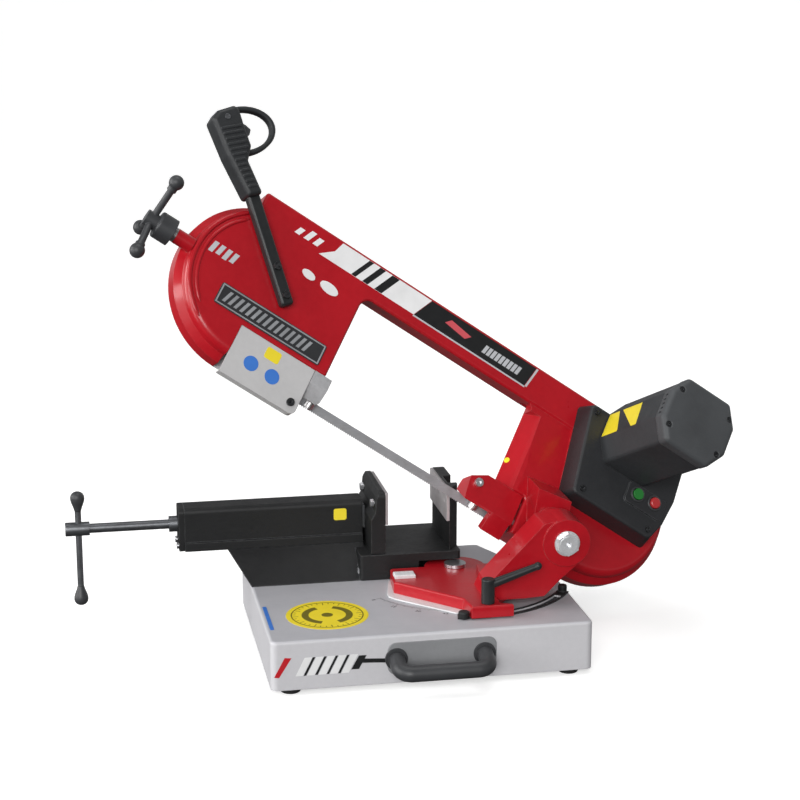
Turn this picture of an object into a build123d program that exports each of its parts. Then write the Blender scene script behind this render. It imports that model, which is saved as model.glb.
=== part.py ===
from build123d import *
import os
import math

# ------------------------------------------------------------------ driving dimensions (mm)
# Working frame: x right, y away from the front, z up, zero at the base box's front left bottom corner.
# The written parts are shifted so that the origin is at the bottom centre of the whole machine.
OX, OY, OZ = -198.295, -149.25, 7.0

BASE_W, BASE_D, BASE_H = 420.0, 345.0, 65.0   # pressed steel base box
BASE_T = 2.5                                  # sheet thickness
FOOT_H = 7.0                                  # rubber feet below the sheet edge

BED_Z = 101.0                                 # vice bed top
JAW_TOP = 190.0
JAW_Y0, JAW_Y1 = 216.0, 334.0
FIX_X = 272.0                                 # fixed clamping face
MOV_X = 190.0                                 # moving clamping face, fully open
HOUS_X0, HOUS_X1 = -85.0, 162.0               # long vice screw housing
HOUS_Y0, HOUS_Y1 = 264.0, 306.0
HOUS_Z0, HOUS_Z1 = 106.0, 165.5
SCR_Y, SCR_Z, SCR_R = 285.0, 140.0, 6.5       # vice screw axis and radius
TBAR_X = -228.0

SW_X, SW_Y = 280.0, 200.0                     # mitre swivel axis
LOCK_R, LOCK_X, LOCK_Y = 155.0, 290.0, 45.3   # lock bolt
PIV_X, PIV_Z, PIV_R = 400.8, 151.1, 12.0      # bow hinge axis, along y
EAR_Y0, EAR_Y1 = 68.0, 120.0

PHI = 34.1                                    # bow raised from level
TAU = 30.0                                    # bow plane leans back from vertical
AX, AY, AZ = 102.5, 200.0, 304.5              # a point on the cutting line
S_L, S_R = -162.0, 407.0                      # wheel centres along the bow
V_C = 99.0                                    # wheel centres above the cutting line
WHEEL_R = 95.0
BAND_T, BAND_W = 0.9, 13.0                    # blade 1735 x 13 x 0.9
HOUSE_RL, HOUSE_RR = 116.0, 117.0
W_REAR, W_FRONT, WALL = -17.5, 28.0, 4.5
BEAM_V0, BEAM_V1, RISE = 168.0, 222.0, 11.0
POST_S, THROAT_S = 258.0, -31.0
GEAR_M = 1.25
Z_PIN, Z_OUT, Z_LAY = 12, 40, 68
COVER_W = 63.0
MOTOR_END = 222.0

# ------------------------------------------------------------------ helpers
C3 = (Align.CENTER, Align.CENTER, Align.MIN)
p_, t_ = math.radians(PHI), math.radians(TAU)
EX = (math.cos(p_), 0, -math.sin(p_))
EZ = (math.sin(p_), 0, math.cos(p_))
N = (math.sin(t_) * EZ[0], -math.cos(t_), math.sin(t_) * EZ[2])
ORG = (AX, AY, AZ)
HL = Plane(origin=ORG, x_dir=EX, z_dir=N).location      # bow plane: s along, v up, w to the front
LL = Plane(origin=ORG, x_dir=EX, z_dir=EZ).location     # cutting frame: s along, y back, z up
PIN_PROF = math.radians(20)


def blk(x0, x1, y0, y1, z0, z1):
    return Pos((x0 + x1) / 2, (y0 + y1) / 2, (z0 + z1) / 2) * Box(x1 - x0, y1 - y0, z1 - z0)


def rod(p, d, r, h):
    return Plane(origin=p, z_dir=d).location * Cylinder(r, h, align=C3)


def cone(p, d, r0, r1, h):
    return Plane(origin=p, z_dir=d).location * Cone(r0, r1, h, align=C3)


def tube(p, d, ro, ri, h):
    return rod(p, d, ro, h) - rod(p, d, ri, h)


def prism(pts, z0, z1):
    f = make_face(Polyline(*[(x, y, z0) for x, y in pts], close=True))
    return extrude(f, amount=z1 - z0, dir=(0, 0, 1))


def prism_y(pts, y0, y1):
    f = make_face(Polyline(*[(x, y0, z) for x, z in pts], close=True))
    return extrude(f, amount=y1 - y0, dir=(0, 1, 0))


def sk_ext(sk, w0, w1):
    return Pos(0, 0, w0) * extrude(sk, amount=w1 - w0, dir=(0, 0, 1))


def rect(x0, x1, y0, y1):
    return Pos((x0 + x1) / 2, (y0 + y1) / 2) * Rectangle(x1 - x0, y1 - y0)


def soft(shape, edges, r, tag=""):
    for k in (1.0, 0.7, 0.45):
        try:
            out = fillet(edges, r * k)
            if out.is_valid and out.volume > 0.5 * shape.volume:
                return out
        except Exception as e:
            print("fillet left out", tag, round(r * k, 2), type(e).__name__)
    return shape


def hexhead(p, d, af, h):
    pl = Plane(origin=p, z_dir=d)
    return pl.location * extrude(RegularPolygon(af / 2, 6, major_radius=False), amount=h, dir=(0, 0, 1))


def sphere(p, r):
    return Pos(*p) * Sphere(r)


NODES = {}


def put(name, shape, loc=None):
    if loc is not None:
        shape = loc * shape
    NODES[name] = shape


def group(items):
    out = []
    for i in items:
        out += list(i.solids())
    return Compound(children=out)


# ------------------------------------------------------------------ base
CORNER = [(0, 0), (BASE_W, 0), (BASE_W, 165), (345, BASE_D), (0, BASE_D)]
outer = prism(CORNER, 0, BASE_H)
outer = soft(outer, outer.edges().filter_by(Axis.Z), 9)
outer = soft(outer, outer.faces().sort_by(Axis.Z)[-1].edges(), 4)
inset = [(BASE_T, BASE_T), (BASE_W - BASE_T, BASE_T), (BASE_W - BASE_T, 164.4), (343.3, BASE_D - BASE_T), (BASE_T, BASE_D - BASE_T)]
inner = prism(inset, BASE_T, BASE_H - BASE_T)
inner = soft(inner, inner.edges().filter_by(Axis.Z), 6.5)
FL = 44.0
mouth = prism([(FL, FL), (BASE_W - FL, FL), (BASE_W - FL, 155), (313, BASE_D - FL), (FL, BASE_D - FL)], -1, BASE_T + 1)
base = outer - inner - mouth
FEET = [(26.5, 16.5), (391.5, 16.5), (28, 317), (326, 317)]
for fx, fy in FEET:
    base -= rod((fx, fy, -1), (0, 0, 1), 3.1, 8)


def arc_band(r0, r1, a0, a1, z0, z1):
    n = max(8, int(abs(a1 - a0) / 3))
    pts = []
    for i in range(n + 1):
        a = math.radians(a0 + (a1 - a0) * i / n)
        pts.append((SW_X + r1 * math.cos(a), SW_Y + r1 * math.sin(a)))
    for i in range(n + 1):
        a = math.radians(a1 + (a0 - a1) * i / n)
        pts.append((SW_X + r0 * math.cos(a), SW_Y + r0 * math.sin(a)))
    return prism(pts, z0, z1)


LOCK_A = math.degrees(math.atan2(LOCK_Y - SW_Y, LOCK_X - SW_X))
LOCK_R = math.hypot(LOCK_Y - SW_Y, LOCK_X - SW_X)
slot = arc_band(LOCK_R - 5.6, LOCK_R + 5.6, LOCK_A - 3.2, LOCK_A + 48.2, 55, 72)
base -= slot
base -= rod((SW_X, SW_Y, 50), (0, 0, 1), 9.02, 30)
TRACK_BOLTS = [(257.0, 40.5), (411.0, 118.0)]
for bx, by in TRACK_BOLTS:
    base -= rod((bx, by, 50), (0, 0, 1), 3.1, 30)
VICE_BOLTS = [(152, 226), (152, 334), (11, 240), (11, 330)]
for bx, by in VICE_BOLTS:
    base -= rod((bx, by, 50), (0, 0, 1), 4.2, 30)
HX0, HX1 = 160.0, 275.0
for hx in (HX0, HX1):
    base -= rod((hx, -5, 33), (0, 1, 0), 3.1, 20)
put("base_shell", base)

feet, fscr = [], []
for fx, fy in FEET:
    f = cone((fx, fy, -FOOT_H), (0, 0, 1), 12.5, 15, FOOT_H)
    f = soft(f, f.faces().sort_by(Axis.Z)[0].edges(), 1.5)
    f -= rod((fx, fy, -FOOT_H - 1), (0, 0, 1), 6, 5)
    f -= rod((fx, fy, -FOOT_H - 1), (0, 0, 1), 3.1, 20)
    feet.append(f)
    fscr.append(rod((fx, fy, -5.6), (0, 0, 1), 5, 2.6) + rod((fx, fy, -3.1), (0, 0, 1), 3, 9) + hexhead((fx, fy, BASE_T), (0, 0, 1), 9.5, 4.5))
put("rubber_feet", group(feet))
put("foot_screws", group(fscr))

# bridge handle on the front
BAR_Y, BAR_Z = -36.0, 25.0
path = FilletPolyline((HX0, -3, 33), (HX0, BAR_Y, BAR_Z), (HX1, BAR_Y, BAR_Z), (HX1, -3, 33), radius=15)
prof = Plane(origin=(HX0, -3, 33), z_dir=path % 0).location * Circle(10.5)
grip_bar = sweep(prof, path=path)
bar = grip_bar + rod((HX0, -3.5, 33), (0, 1, 0), 14.5, 3.5) + rod((HX1, -3.5, 33), (0, 1, 0), 14.5, 3.5)
bar -= blk(0, 420, 0, 30, -20, 90)
for hx in (HX0, HX1):
    bar -= rod((hx, -6, 33), (0, 1, 0), 3.0, 12)
put("carry_handle", bar)
put("handle_screws", group([rod((hx, -6, 33), (0, 1, 0), 3.0, 8.5) + rod((hx, BASE_T, 33), (0, 1, 0), 6, 4) for hx in (HX0, HX1)]))

# mitre track with its two end stops
track = arc_band(147, 163, -101, -31.5, BASE_H, BASE_H + 1.6)
track -= slot
for bx, by in TRACK_BOLTS:
    track -= rod((bx, by, 50), (0, 0, 1), 3.1, 30)
put("mitre_track", track)
stops = []
for bx, by in TRACK_BOLTS:
    k = rod((bx, by, BASE_H + 1.6), (0, 0, 1), 7.2 if bx < 300 else 6, 9)
    k = soft(k, k.faces().sort_by(Axis.Z)[-1].edges(), 2)
    stops.append(k + rod((bx, by, BASE_H - 8), (0, 0, 1), 3, 10) + hexhead((bx, by, BASE_H - BASE_T - 4), (0, 0, 1), 9.5, 4))
put("mitre_stops", group(stops))

# swivel pin, its nut and washer stay with the base
pin = rod((SW_X, SW_Y, 48), (0, 0, 1), 9, 36)
pin += rod((SW_X, SW_Y, 83.4), (0, 0, 1), 15, 4.6)
put("swivel_pin", pin)
put("swivel_nut", hexhead((SW_X, SW_Y, 51), (0, 0, 1), 27, 11.4) - rod((SW_X, SW_Y, 40), (0, 0, 1), 9, 40))
put("swivel_washer", tube((SW_X, SW_Y, BASE_H), (0, 0, 1), 40, 9.1, 1.9))

# ------------------------------------------------------------------ vice
bed = blk(150, 291, 213, BASE_D, BASE_H, BED_Z)
bed = soft(bed, bed.edges().filter_by(Axis.Z), 4)
bed -= blk(200, 282, 258, 328, BASE_H - 1, BED_Z - 8)
bed -= rod((SW_X, SW_Y, BASE_H - 1), (0, 0, 1), 50, 25.0)
lo = Pos(0, 0, BASE_H) * rect(0.6, 166, 215, BASE_D)
hi = Pos(0, 0, HOUS_Z0) * rect(-27, 162, 259, 318)
wedge = loft([lo, hi])
lo2 = Pos(0, 0, BASE_H - 0.5) * rect(24, 138, 234, 326)
hi2 = Pos(0, 0, 96) * rect(8, 136, 262, 308)
wedge -= loft([lo2, hi2])
body = bed + wedge
body -= blk(161.99, 300, 200, 350, BED_Z, 130)
for bx, by in VICE_BOLTS:
    body -= rod((bx, by, 50), (0, 0, 1), 4.0, 32)
for hx in (-10, 120):
    body -= rod((hx, 285, 92), (0, 0, 1), 4.0, 30)
put("vice_body", body)
put("vice_bolts", group([rod((bx, by, 56), (0, 0, 1), 4.0, 24) + hexhead((bx, by, 57), (0, 0, 1), 13, 5.4) for bx, by in VICE_BOLTS]))

hous = blk(HOUS_X0, HOUS_X1, HOUS_Y0, HOUS_Y1, HOUS_Z0, HOUS_Z1)
hous = soft(hous, [e for e in hous.edges().filter_by(Axis.X) if e.center().Z > 150], 7)
hous += blk(HOUS_X0, HOUS_X1, HOUS_Y0 - 4, HOUS_Y1 + 4, HOUS_Z0, HOUS_Z0 + 12)
hous -= blk(HOUS_X0 - 1, HOUS_X1 + 1, 269.7, 300.3, 123.7, 156.3)
for hx in (-10, 120):
    hous -= rod((hx, 285, 100), (0, 0, 1), 4.0, 15)
put("vice_housing", hous)
put("housing_studs", group([rod((hx, 285, 93), (0, 0, 1), 4.0, 20) for hx in (-10, 120)]))

cap = blk(-93, HOUS_X0, HOUS_Y0, HOUS_Y1, HOUS_Z0, HOUS_Z1)
cap = soft(cap, [e for e in cap.edges().filter_by(Axis.X) if e.center().Z > 150], 7)
cap -= rod((-105, SCR_Y, SCR_Z), (1, 0, 0), SCR_R + 0.05, 40)
CAPS = [(270, 113), (300, 113)]
for cy, cz in CAPS:
    cap -= rod((-105, cy, cz), (1, 0, 0), 2.5, 40)
    NODES["vice_housing"] -= rod((-86, cy, cz), (1, 0, 0), 2.5, 15)
put("housing_end_cap", cap)
put("end_cap_screws", group([rod((-93, cy, cz), (1, 0, 0), 2.5, 20) + (rod((-96, cy, cz), (1, 0, 0), 4.5, 3) - hexhead((-96.5, cy, cz), (1, 0, 0), 4, 2)) for cy, cz in CAPS]))

# moving jaw and ram
ram = blk(-30, 166, 270, 300, 124, 156)
ram -= rod((-31, SCR_Y, SCR_Z), (1, 0, 0), 11, 31)
ram -= rod((-1, SCR_Y, SCR_Z), (1, 0, 0), 7.4, 150)
put("vice_ram", ram)
put("vice_nut", tube((-30, SCR_Y, SCR_Z), (1, 0, 0), 11, SCR_R + 0.05, 30))
jaw = prism_y([(166, BED_Z + 0.4), (186, BED_Z + 0.4), (186, JAW_TOP - 3), (184, JAW_TOP), (178, JAW_TOP), (174, JAW_TOP - 10), (172, JAW_TOP - 30), (166, JAW_TOP - 40)], JAW_Y0, JAW_Y1)
jaw = soft(jaw, [e for e in jaw.edges().filter_by(Axis.X) if e.center().Z > 150], 10)
JB = [(233, 170), (317, 170)]
for jy, jz in JB:
    jaw -= rod((160, jy, jz), (1, 0, 0), 3.5, 40)
put("moving_jaw", jaw)
mplate = blk(186, MOV_X, JAW_Y0 + 2, JAW_Y1 - 2, 142, 187)
for jy, jz in JB:
    mplate -= rod((180, jy, jz), (1, 0, 0), 3.5, 20)
put("moving_jaw_plate", mplate)
put("moving_jaw_bolts", group([rod((168, jy, jz), (1, 0, 0), 3.5, MOV_X - 168.6) + hexhead((167.6, jy, jz), (1, 0, 0), 10, 4.4) for jy, jz in JB]))

# fixed jaw: its front right corner is bevelled so that the bow can swing to 45 degrees
fj = prism([(276, JAW_Y0), (291, JAW_Y0 + 22), (291, JAW_Y1), (276, JAW_Y1)], BED_Z, JAW_TOP)
fj = soft(fj, [e for e in fj.edges().filter_by(Axis.X) if e.center().Z > 150], 8)
fj -= prism_y([(279, 160), (292, 152), (292, 200), (279, 200)], 244, 281)
for jy, jz in JB:
    fj -= rod((260, jy, jz), (1, 0, 0), 3.5, 40)
put("fixed_jaw", fj)
fplate = blk(FIX_X, 276, JAW_Y0 + 1, JAW_Y1 - 2, 143, 188)
for jy, jz in JB:
    fplate -= rod((260, jy, jz), (1, 0, 0), 3.5, 40)
put("fixed_jaw_plate", fplate)
put("fixed_jaw_bolts", group([rod((FIX_X + 0.6, jy, jz), (1, 0, 0), 3.5, 13.5 if jy > 300 else 11) for jy, jz in JB]))

# vice screw, T-bar
scr = rod((-246, SCR_Y, SCR_Z), (1, 0, 0), SCR_R, 341)
scr += rod((-246, SCR_Y, SCR_Z), (1, 0, 0), 9.5, 33)
scr = soft(scr, scr.faces().sort_by(Axis.X)[0].edges(), 1.5)
scr -= rod((TBAR_X, SCR_Y, SCR_Z - 20), (0, 0, 1), 4.3, 40)
put("vice_screw", scr)
put("screw_collars", group([tube((-105, SCR_Y, SCR_Z), (1, 0, 0), 11, SCR_R, 11.6), tube((-84.6, SCR_Y, SCR_Z), (1, 0, 0), 11, SCR_R, 10)]))
TB_UP, TB_DN = 37.0, 93.0
put("vice_t_bar", rod((TBAR_X, SCR_Y, SCR_Z - TB_DN), (0, 0, 1), 4.25, TB_UP + TB_DN))


def teardrop(p, d):
    prof = [(0, -4), (4.3, -4), (6.0, 2), (8.6, 9), (9.6, 14), (9.0, 18.5), (6.5, 22), (3, 23.8), (0, 24.2)]
    sp = Polyline(*[(x, 0, z) for x, z in prof[:3]])
    cu = Spline(*[(x, 0, z) for x, z in prof[2:]], tangents=((0.35, 0, 1), (-1, 0, -0.05)))
    ln = Line((0, 0, 24.2), (0, 0, -4))
    f = make_face([sp, cu, ln])
    k = revolve(f, Axis.Z)
    k -= rod((0, 0, -5), (0, 0, 1), 4.25, 13)
    return Plane(origin=p, z_dir=d).location * k


put("t_bar_knobs", group([teardrop((TBAR_X, SCR_Y, SCR_Z + TB_UP - 8), (0, 0, 1)), teardrop((TBAR_X, SCR_Y, SCR_Z - TB_DN + 8), (0, 0, -1))]))

# ------------------------------------------------------------------ swivel turntable
TT0, TT1 = 67.2, 83.0
tpoly = [(185, 150), (262, 68), (266, 33), (322, 33), (322, 38), (307, 44), (307, 70), (340, 110), (332, 176), (300, 206), (190, 206)]
tt = prism(tpoly, TT0, TT1)
tt = soft(tt, [e for e in tt.edges().filter_by(Axis.Z) if e.center().X < 270 and e.center().Y > 60], 5)
tt = soft(tt, tt.faces().sort_by(Axis.Z)[-1].edges(), 2.5)
tt += rod((SW_X, SW_Y, TT0), (0, 0, 1), 42, TT1 - TT0)
ear = prism_y([(286, 77.5), (296, 100), (371, 178), (400, 183), (433, 150), (424, 127), (396, 103), (372, 79), (345, 77.5)], EAR_Y0, EAR_Y1)
ear = soft(ear, ear.edges().filter_by(Axis.Y), 5)
ear += rod((PIV_X, EAR_Y0 - 3, PIV_Z), (0, 1, 0), 32, EAR_Y1 - EAR_Y0 + 3)
web = prism([(296, 110), (330, 118), (322, 180), (306, 180)], TT1 - 1, TT1 + 8)
tt = tt + ear + web
tt -= rod((SW_X, SW_Y, 50), (0, 0, 1), 9.05, 60)
tt -= rod((LOCK_X, LOCK_Y, 50), (0, 0, 1), 5.0, 60)
tt -= rod((PIV_X, 40, PIV_Z), (0, 1, 0), 15, 100)
# hollow behind the ear, open to the back
tt -= prism_y([(318, 92), (372, 150), (384, 120), (360, 92)], 82, EAR_Y1 + 1)
put("turntable", tt)
put("pivot_bushes", group([tube((PIV_X, EAR_Y0 - 3, PIV_Z), (0, 1, 0), 15, PIV_R + 0.05, 22), tube((PIV_X, EAR_Y1 - 22, PIV_Z), (0, 1, 0), 15, PIV_R + 0.05, 22)]))
wear = prism([(176, 150), (176, 138), (184, 126), (250, 60), (258, 58), (264, 70), (262, 110), (237, 170), (232, 202), (187, 202)], 65.3, TT0)
wear -= rod((SW_X, SW_Y, 60), (0, 0, 1), 42, 10)
put("wear_plate", wear)
ptr = blk(189, 217, 160, 178, TT1, TT1 + 5)
ptr = soft(ptr, ptr.faces().sort_by(Axis.Z)[-1].edges(), 1.5)
put("mitre_pointer", ptr)
put("lock_bolt", rod((LOCK_X, LOCK_Y, 52), (0, 0, 1), 5.0, 52) + rod((LOCK_X, LOCK_Y, 52), (0, 0, 1), 10, 8))
hub = rod((LOCK_X, LOCK_Y, TT1 + 0.4), (0, 0, 1), 8.8, 33)
hub = soft(hub, hub.faces().sort_by(Axis.Z)[-1].edges(), 2)
lev_d = Vector(66, 0, 22).normalized()
lever = hub + cone((LOCK_X, LOCK_Y, 107), (lev_d.X, lev_d.Y, lev_d.Z), 6.2, 4.6, 70) + sphere((LOCK_X + lev_d.X * 70, LOCK_Y, 107 + lev_d.Z * 70), 5.4)
lever -= rod((LOCK_X, LOCK_Y, 70), (0, 0, 1), 5.05, 35)
put("lock_lever", lever)

# return spring: torsion coil round the hinge shaft
hel = Helix(pitch=4.6, height=13.8, radius=17)
sec = Plane(origin=hel @ 0, z_dir=hel % 0) * Circle(1.8)
coil = sweep(sec, path=hel, is_frenet=True)
put("return_spring", Plane(origin=(PIV_X, EAR_Y1 + 2.2, PIV_Z), z_dir=(0, 1, 0)).location * coil)

# ------------------------------------------------------------------ bow frame
def plate_sketch(d, dv=0.0):
    """beam, left block, post and lower block, without the wheel drums"""
    sk = rect(-214 + d, 470, BEAM_V0 + d + dv, BEAM_V1 - d)
    sk += rect(S_L, THROAT_S - d, 36 + d, BEAM_V0 + 20)
    sk += rect(POST_S + d, S_R, 40 + d, BEAM_V0 + 20)
    sk += rect(300 + d, S_R, -14 + d, 70)
    sk += rect(S_R, 498 - d, V_C, 205 - d)
    return sk


def drum(cs, r):
    """wheel housing: flange at the back, sloped step, rounded front rim"""
    q = math.sqrt(0.5)
    line = Polyline((0, 0, W_FRONT), (0, 0, W_REAR), (r, 0, W_REAR), (r, 0, 3), (r - 9, 0, 12), (r - 9, 0, 17))
    arc = ThreePointArc((r - 9, 0, 17), (r - 20 + 11 * q, 0, 17 + 11 * q), (r - 20, 0, W_FRONT))
    back = Line((r - 20, 0, W_FRONT), (0, 0, W_FRONT))
    return Pos(cs, V_C, 0) * revolve(make_face([line, arc, back]), Axis.Z)


def drum_room(cs, r):
    f = make_face(Polyline((0, 0, W_REAR - 1), (r - 4.5, 0, W_REAR - 1), (r - 4.5, 0, 0), (r - 14, 0, 9.5), (r - 14, 0, W_FRONT - WALL), (0, 0, W_FRONT - WALL), close=True))
    return Pos(cs, V_C, 0) * revolve(f, Axis.Z)


def near(e, s, v, tol=2.0):
    c = e.center()
    return abs(c.X - s) < tol and abs(c.Y - v) < tol


frame = sk_ext(plate_sketch(0), W_REAR, W_FRONT)
frame = soft(frame, [e for e in frame.edges().filter_by(Axis.Z) if near(e, THROAT_S, BEAM_V0)], 16, "throat left")
frame = soft(frame, [e for e in frame.edges().filter_by(Axis.Z) if near(e, POST_S, BEAM_V0)], 9, "throat right")
frame = soft(frame, [e for e in frame.edges().filter_by(Axis.Z) if near(e, POST_S, 40) or near(e, 300, 40)], 5, "post foot")
frame = soft(frame, [e for e in frame.edges().filter_by(Axis.Z) if near(e, -214, BEAM_V1) or near(e, THROAT_S, 36)], 4, "beam end")
frame = soft(frame, frame.faces().sort_by(Axis.Z)[-1].edges(), 4, "bow front")
# the post's left face slopes back, the beam's under face rises to the back
slope = make_face(Polyline((POST_S - 30, 20, 3), (POST_S, 20, 3), (POST_S + 14.4, 20, 23), (POST_S + 18.6, 20, 26.6), (POST_S + 25, 20, W_FRONT + 0.01), (POST_S - 30, 20, W_FRONT + 0.01), close=True))
frame -= extrude(slope, amount=BEAM_V0 - 20 - 9, dir=(0, 1, 0))
rise = make_face(Polyline((THROAT_S + 4, BEAM_V0 - 10, W_REAR - 1), (THROAT_S + 4, BEAM_V0 + RISE, W_REAR - 1), (THROAT_S + 4, BEAM_V0 - 0.2, W_FRONT - 4), (THROAT_S + 4, BEAM_V0 - 10, W_FRONT - 4), close=True))
frame -= extrude(rise, amount=POST_S - THROAT_S - 4, dir=(1, 0, 0))
frame += drum(S_L, HOUSE_RL)
frame += drum(S_R, HOUSE_RR)
# quadrant left open for the blade guard
frame -= blk(-164, THROAT_S + 10, -60, 36, W_REAR - 5, W_FRONT + 5)
pocket = plate_sketch(WALL, RISE)
pocket -= rect(POST_S - 5, 310, 30, BEAM_V0 + WALL + RISE)
frame -= sk_ext(pocket, W_REAR - 1, W_FRONT - WALL)
frame -= drum_room(S_L, HOUSE_RL)
frame -= drum_room(S_R, HOUSE_RR)
# the post's front falls back under the beam, so that the beam's lower edge shows as a ledge
ledge = extrude(make_face(Polyline((250, 80, W_FRONT + 0.01), (250, 168, W_FRONT - 3), (250, 171, W_FRONT + 0.01), close=True)), amount=95, dir=(1, 0, 0))
ledge -= prism([(320, 207), (343, 67), (420, 67), (420, 207)], 20, 30)
frame -= ledge
# room for the idle wheel to slide with the tension block
frame -= rod((S_L + 8.5, V_C, W_REAR - 1), (0, 0, 1), 100, 12 - W_REAR)
# the post between beam and drive housing is thinner at the back
frame -= blk(POST_S - 6, 302, -60, BEAM_V0 + RISE + 0.4, W_REAR - 1, 3)
# way out for the blade, open to the back
frame -= blk(288, 314, -11, 19, W_REAR - 1, 13)
# room for the gearbox cover
CREAR = [(320, 207), (343, 67), (492, 67), (503, 100), (506, 140), (500, 207)]
CFRONT = [(324, 203), (347, 71), (480, 71), (492, 100), (497, 140), (492, 203)]


def cover_shape(d, w0, w1):
    lo_ = offset(make_face(Polyline(*[(x, y, 0) for x, y in CREAR], close=True)), amount=d, kind=Kind.INTERSECTION)
    hi_ = offset(make_face(Polyline(*[(x, y, 0) for x, y in CFRONT], close=True)), amount=d, kind=Kind.INTERSECTION)
    return loft([Pos(0, 0, w0) * lo_, Pos(0, 0, w1) * hi_], ruled=True)


# hinge boss, merged with the front wall
boss = rod((PIV_X, 139, PIV_Z), (0, 1, 0), 24, 75)
boss += prism_y([(PIV_X - 24, PIV_Z), (PIV_X - 16, PIV_Z + 52), (PIV_X + 30, PIV_Z + 30), (PIV_X + 24, PIV_Z - 4)], 150, 214)
boss -= HL * blk(-400, 700, -300, 400, -200, W_FRONT - WALL + 0.5)
boss -= HL * cover_shape(0.8, W_FRONT, COVER_W + 2)
# rails for the tension block, bearing seat, screw bosses
inner_add = [blk(-215, -110, V_C + 16.5, V_C + 23, 12, W_FRONT - WALL + 0.5), blk(-215, -110, V_C - 23, V_C - 16.5, 12, W_FRONT - WALL + 0.5),
             rod((S_R, V_C, 10.6), (0, 0, 1), 26, W_FRONT - WALL - 10)]
frame += rod((-294, V_C, 17), (1, 0, 0), 10.4, 26)
for a in inner_add:
    frame += a


def rim(cs, r, ang):
    return (cs + r * math.cos(math.radians(ang)), V_C + r * math.sin(math.radians(ang)))


SCREWS = [rim(S_L, 107.5, 140), rim(S_L, 107.5, 210), rim(S_R, 108.5, 0), rim(S_R, 108.5, -70), (60, 186), (220, 186), (430, 214.5)]
for sx, sy in SCREWS:
    frame += rod((sx, sy, W_REAR), (0, 0, 1), 5.5, 18)
frame -= rod((-320, V_C, 17), (1, 0, 0), 4.6, 60)
frame -= rod((S_R, V_C, 5), (0, 0, 1), 21, 40)
frame -= rod((S_R, V_C + 32.5, 20), (0, 0, 1), 8, 20)
for sx, sy in SCREWS:
    frame -= rod((sx, sy, W_REAR - 1), (0, 0, 1), 2.0, 14)
# bolt holes for the handle arm
ARM_A0 = 158.0


def pa(p, a):
    """point in the bow plane from (across, along) of the handle arm's 45 degree axis"""
    q = math.sqrt(0.5)
    return ((-a + p) * q, (a + p) * q)


ARM_P = -24.0
ARM_BOLTS = [pa(ARM_P, 164), pa(ARM_P, 204)]
for bs, bv in ARM_BOLTS:
    frame -= rod((bs, bv, 20), (0, 0, 1), 3.0, 20)
frame_g = HL * frame
frame_g = frame_g + boss
frame_g -= rod((PIV_X, 120, PIV_Z), (0, 1, 0), PIV_R + 0.03, 66.5)
put("bow_frame", frame_g)

put("pivot_shaft", rod((PIV_X, 56, PIV_Z), (0, 1, 0), PIV_R, 130) - rod((PIV_X, 55, PIV_Z), (0, 1, 0), 4, 9))
put("pivot_nut", hexhead((PIV_X, 56.6, PIV_Z), (0, 1, 0), 27, 6.4) + rod((PIV_X, 63, PIV_Z), (0, 1, 0), 17, 1.7) - rod((PIV_X, 50, PIV_Z), (0, 1, 0), PIV_R, 30))

# rear cover
cov = plate_sketch(0.8, RISE)
cov -= rect(POST_S - 8, 302.8, 0, BEAM_V0 + RISE + 0.8)
cov += Pos(S_L, V_C) * Circle(HOUSE_RL - 0.8)
cov += Pos(S_R, V_C) * Circle(HOUSE_RR - 0.8)
cov -= rect(250, 302.8, -40, BEAM_V0 + RISE + 0.8)
cover = sk_ext(cov, W_REAR - 2, W_REAR)
for cs in (S_L, S_R):
    cover += tube((cs, V_C, W_REAR - 3), (0, 0, 1), 86, 78, 1)
    cover += tube((cs, V_C, W_REAR - 3), (0, 0, 1), 30, 24, 1)
for sx, sy in SCREWS:
    cover -= rod((sx, sy, W_REAR - 6), (0, 0, 1), 2.1, 10)
put("rear_cover", cover, HL)
put("cover_screws", group([HL * (rod((sx, sy, W_REAR - 2), (0, 0, 1), 2.0, 13) + rod((sx, sy, W_REAR - 4.6), (0, 0, 1), 4.2, 2.6) - hexhead((sx, sy, W_REAR - 5), (0, 0, 1), 2.5, 1.6)) for sx, sy in SCREWS]))

# ------------------------------------------------------------------ wheels
def band_wheel(bore):
    w = tube((0, 0, -9), (0, 0, 1), WHEEL_R, 83, 18)
    w += tube((0, 0, 7), (0, 0, 1), 97.5, 83, 2)
    w += rod((0, 0, -3), (0, 0, 1), 84, 6)
    w += rod((0, 0, -9), (0, 0, 1), 25, 18)
    for i in range(6):
        a = math.radians(60 * i + 30)
        w -= rod((54 * math.cos(a), 54 * math.sin(a), -5), (0, 0, 1), 15, 10)
    w -= rod((0, 0, -10), (0, 0, 1), bore, 20)
    return w


put("idle_wheel", HL * (Pos(S_L, V_C, 0) * band_wheel(17.5)))
put("idle_bearings", group([HL * tube((S_L, V_C, w), (0, 0, 1), 17.5, 7.55, 8) for w in (-9, 1)]))
axle = rod((S_L, V_C, -11), (0, 0, 1), 7.5, 33.6) + rod((S_L, V_C, -13.5), (0, 0, 1), 11, 3.0)
put("idle_axle", HL * axle)
sl = blk(S_L - 26, S_L + 26, V_C - 16, V_C + 16, 11.6, 22.6) - rod((S_L, V_C, 5), (0, 0, 1), 7.5, 30)
sl -= rod((S_L - 30, V_C, 17), (1, 0, 0), 4.55, 21.5)
put("tension_slide", HL * sl)
ts = rod((-318, V_C, 17), (1, 0, 0), 4.5, 146)
put("tension_screw", HL * ts)
put("tension_washers", group([HL * tube((-299 + 1.7 * i, V_C, 17), (1, 0, 0), 10, 4.6, 1.4) for i in range(3)]))
hubt = rod((-323, V_C, 17), (1, 0, 0), 18.5, 23.8)
hubt = soft(hubt, hubt.faces().sort_by(Axis.X)[0].edges(), 3)
hubt += rod((-340, V_C, 17), (1, 0, 0), 11, 18)
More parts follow.
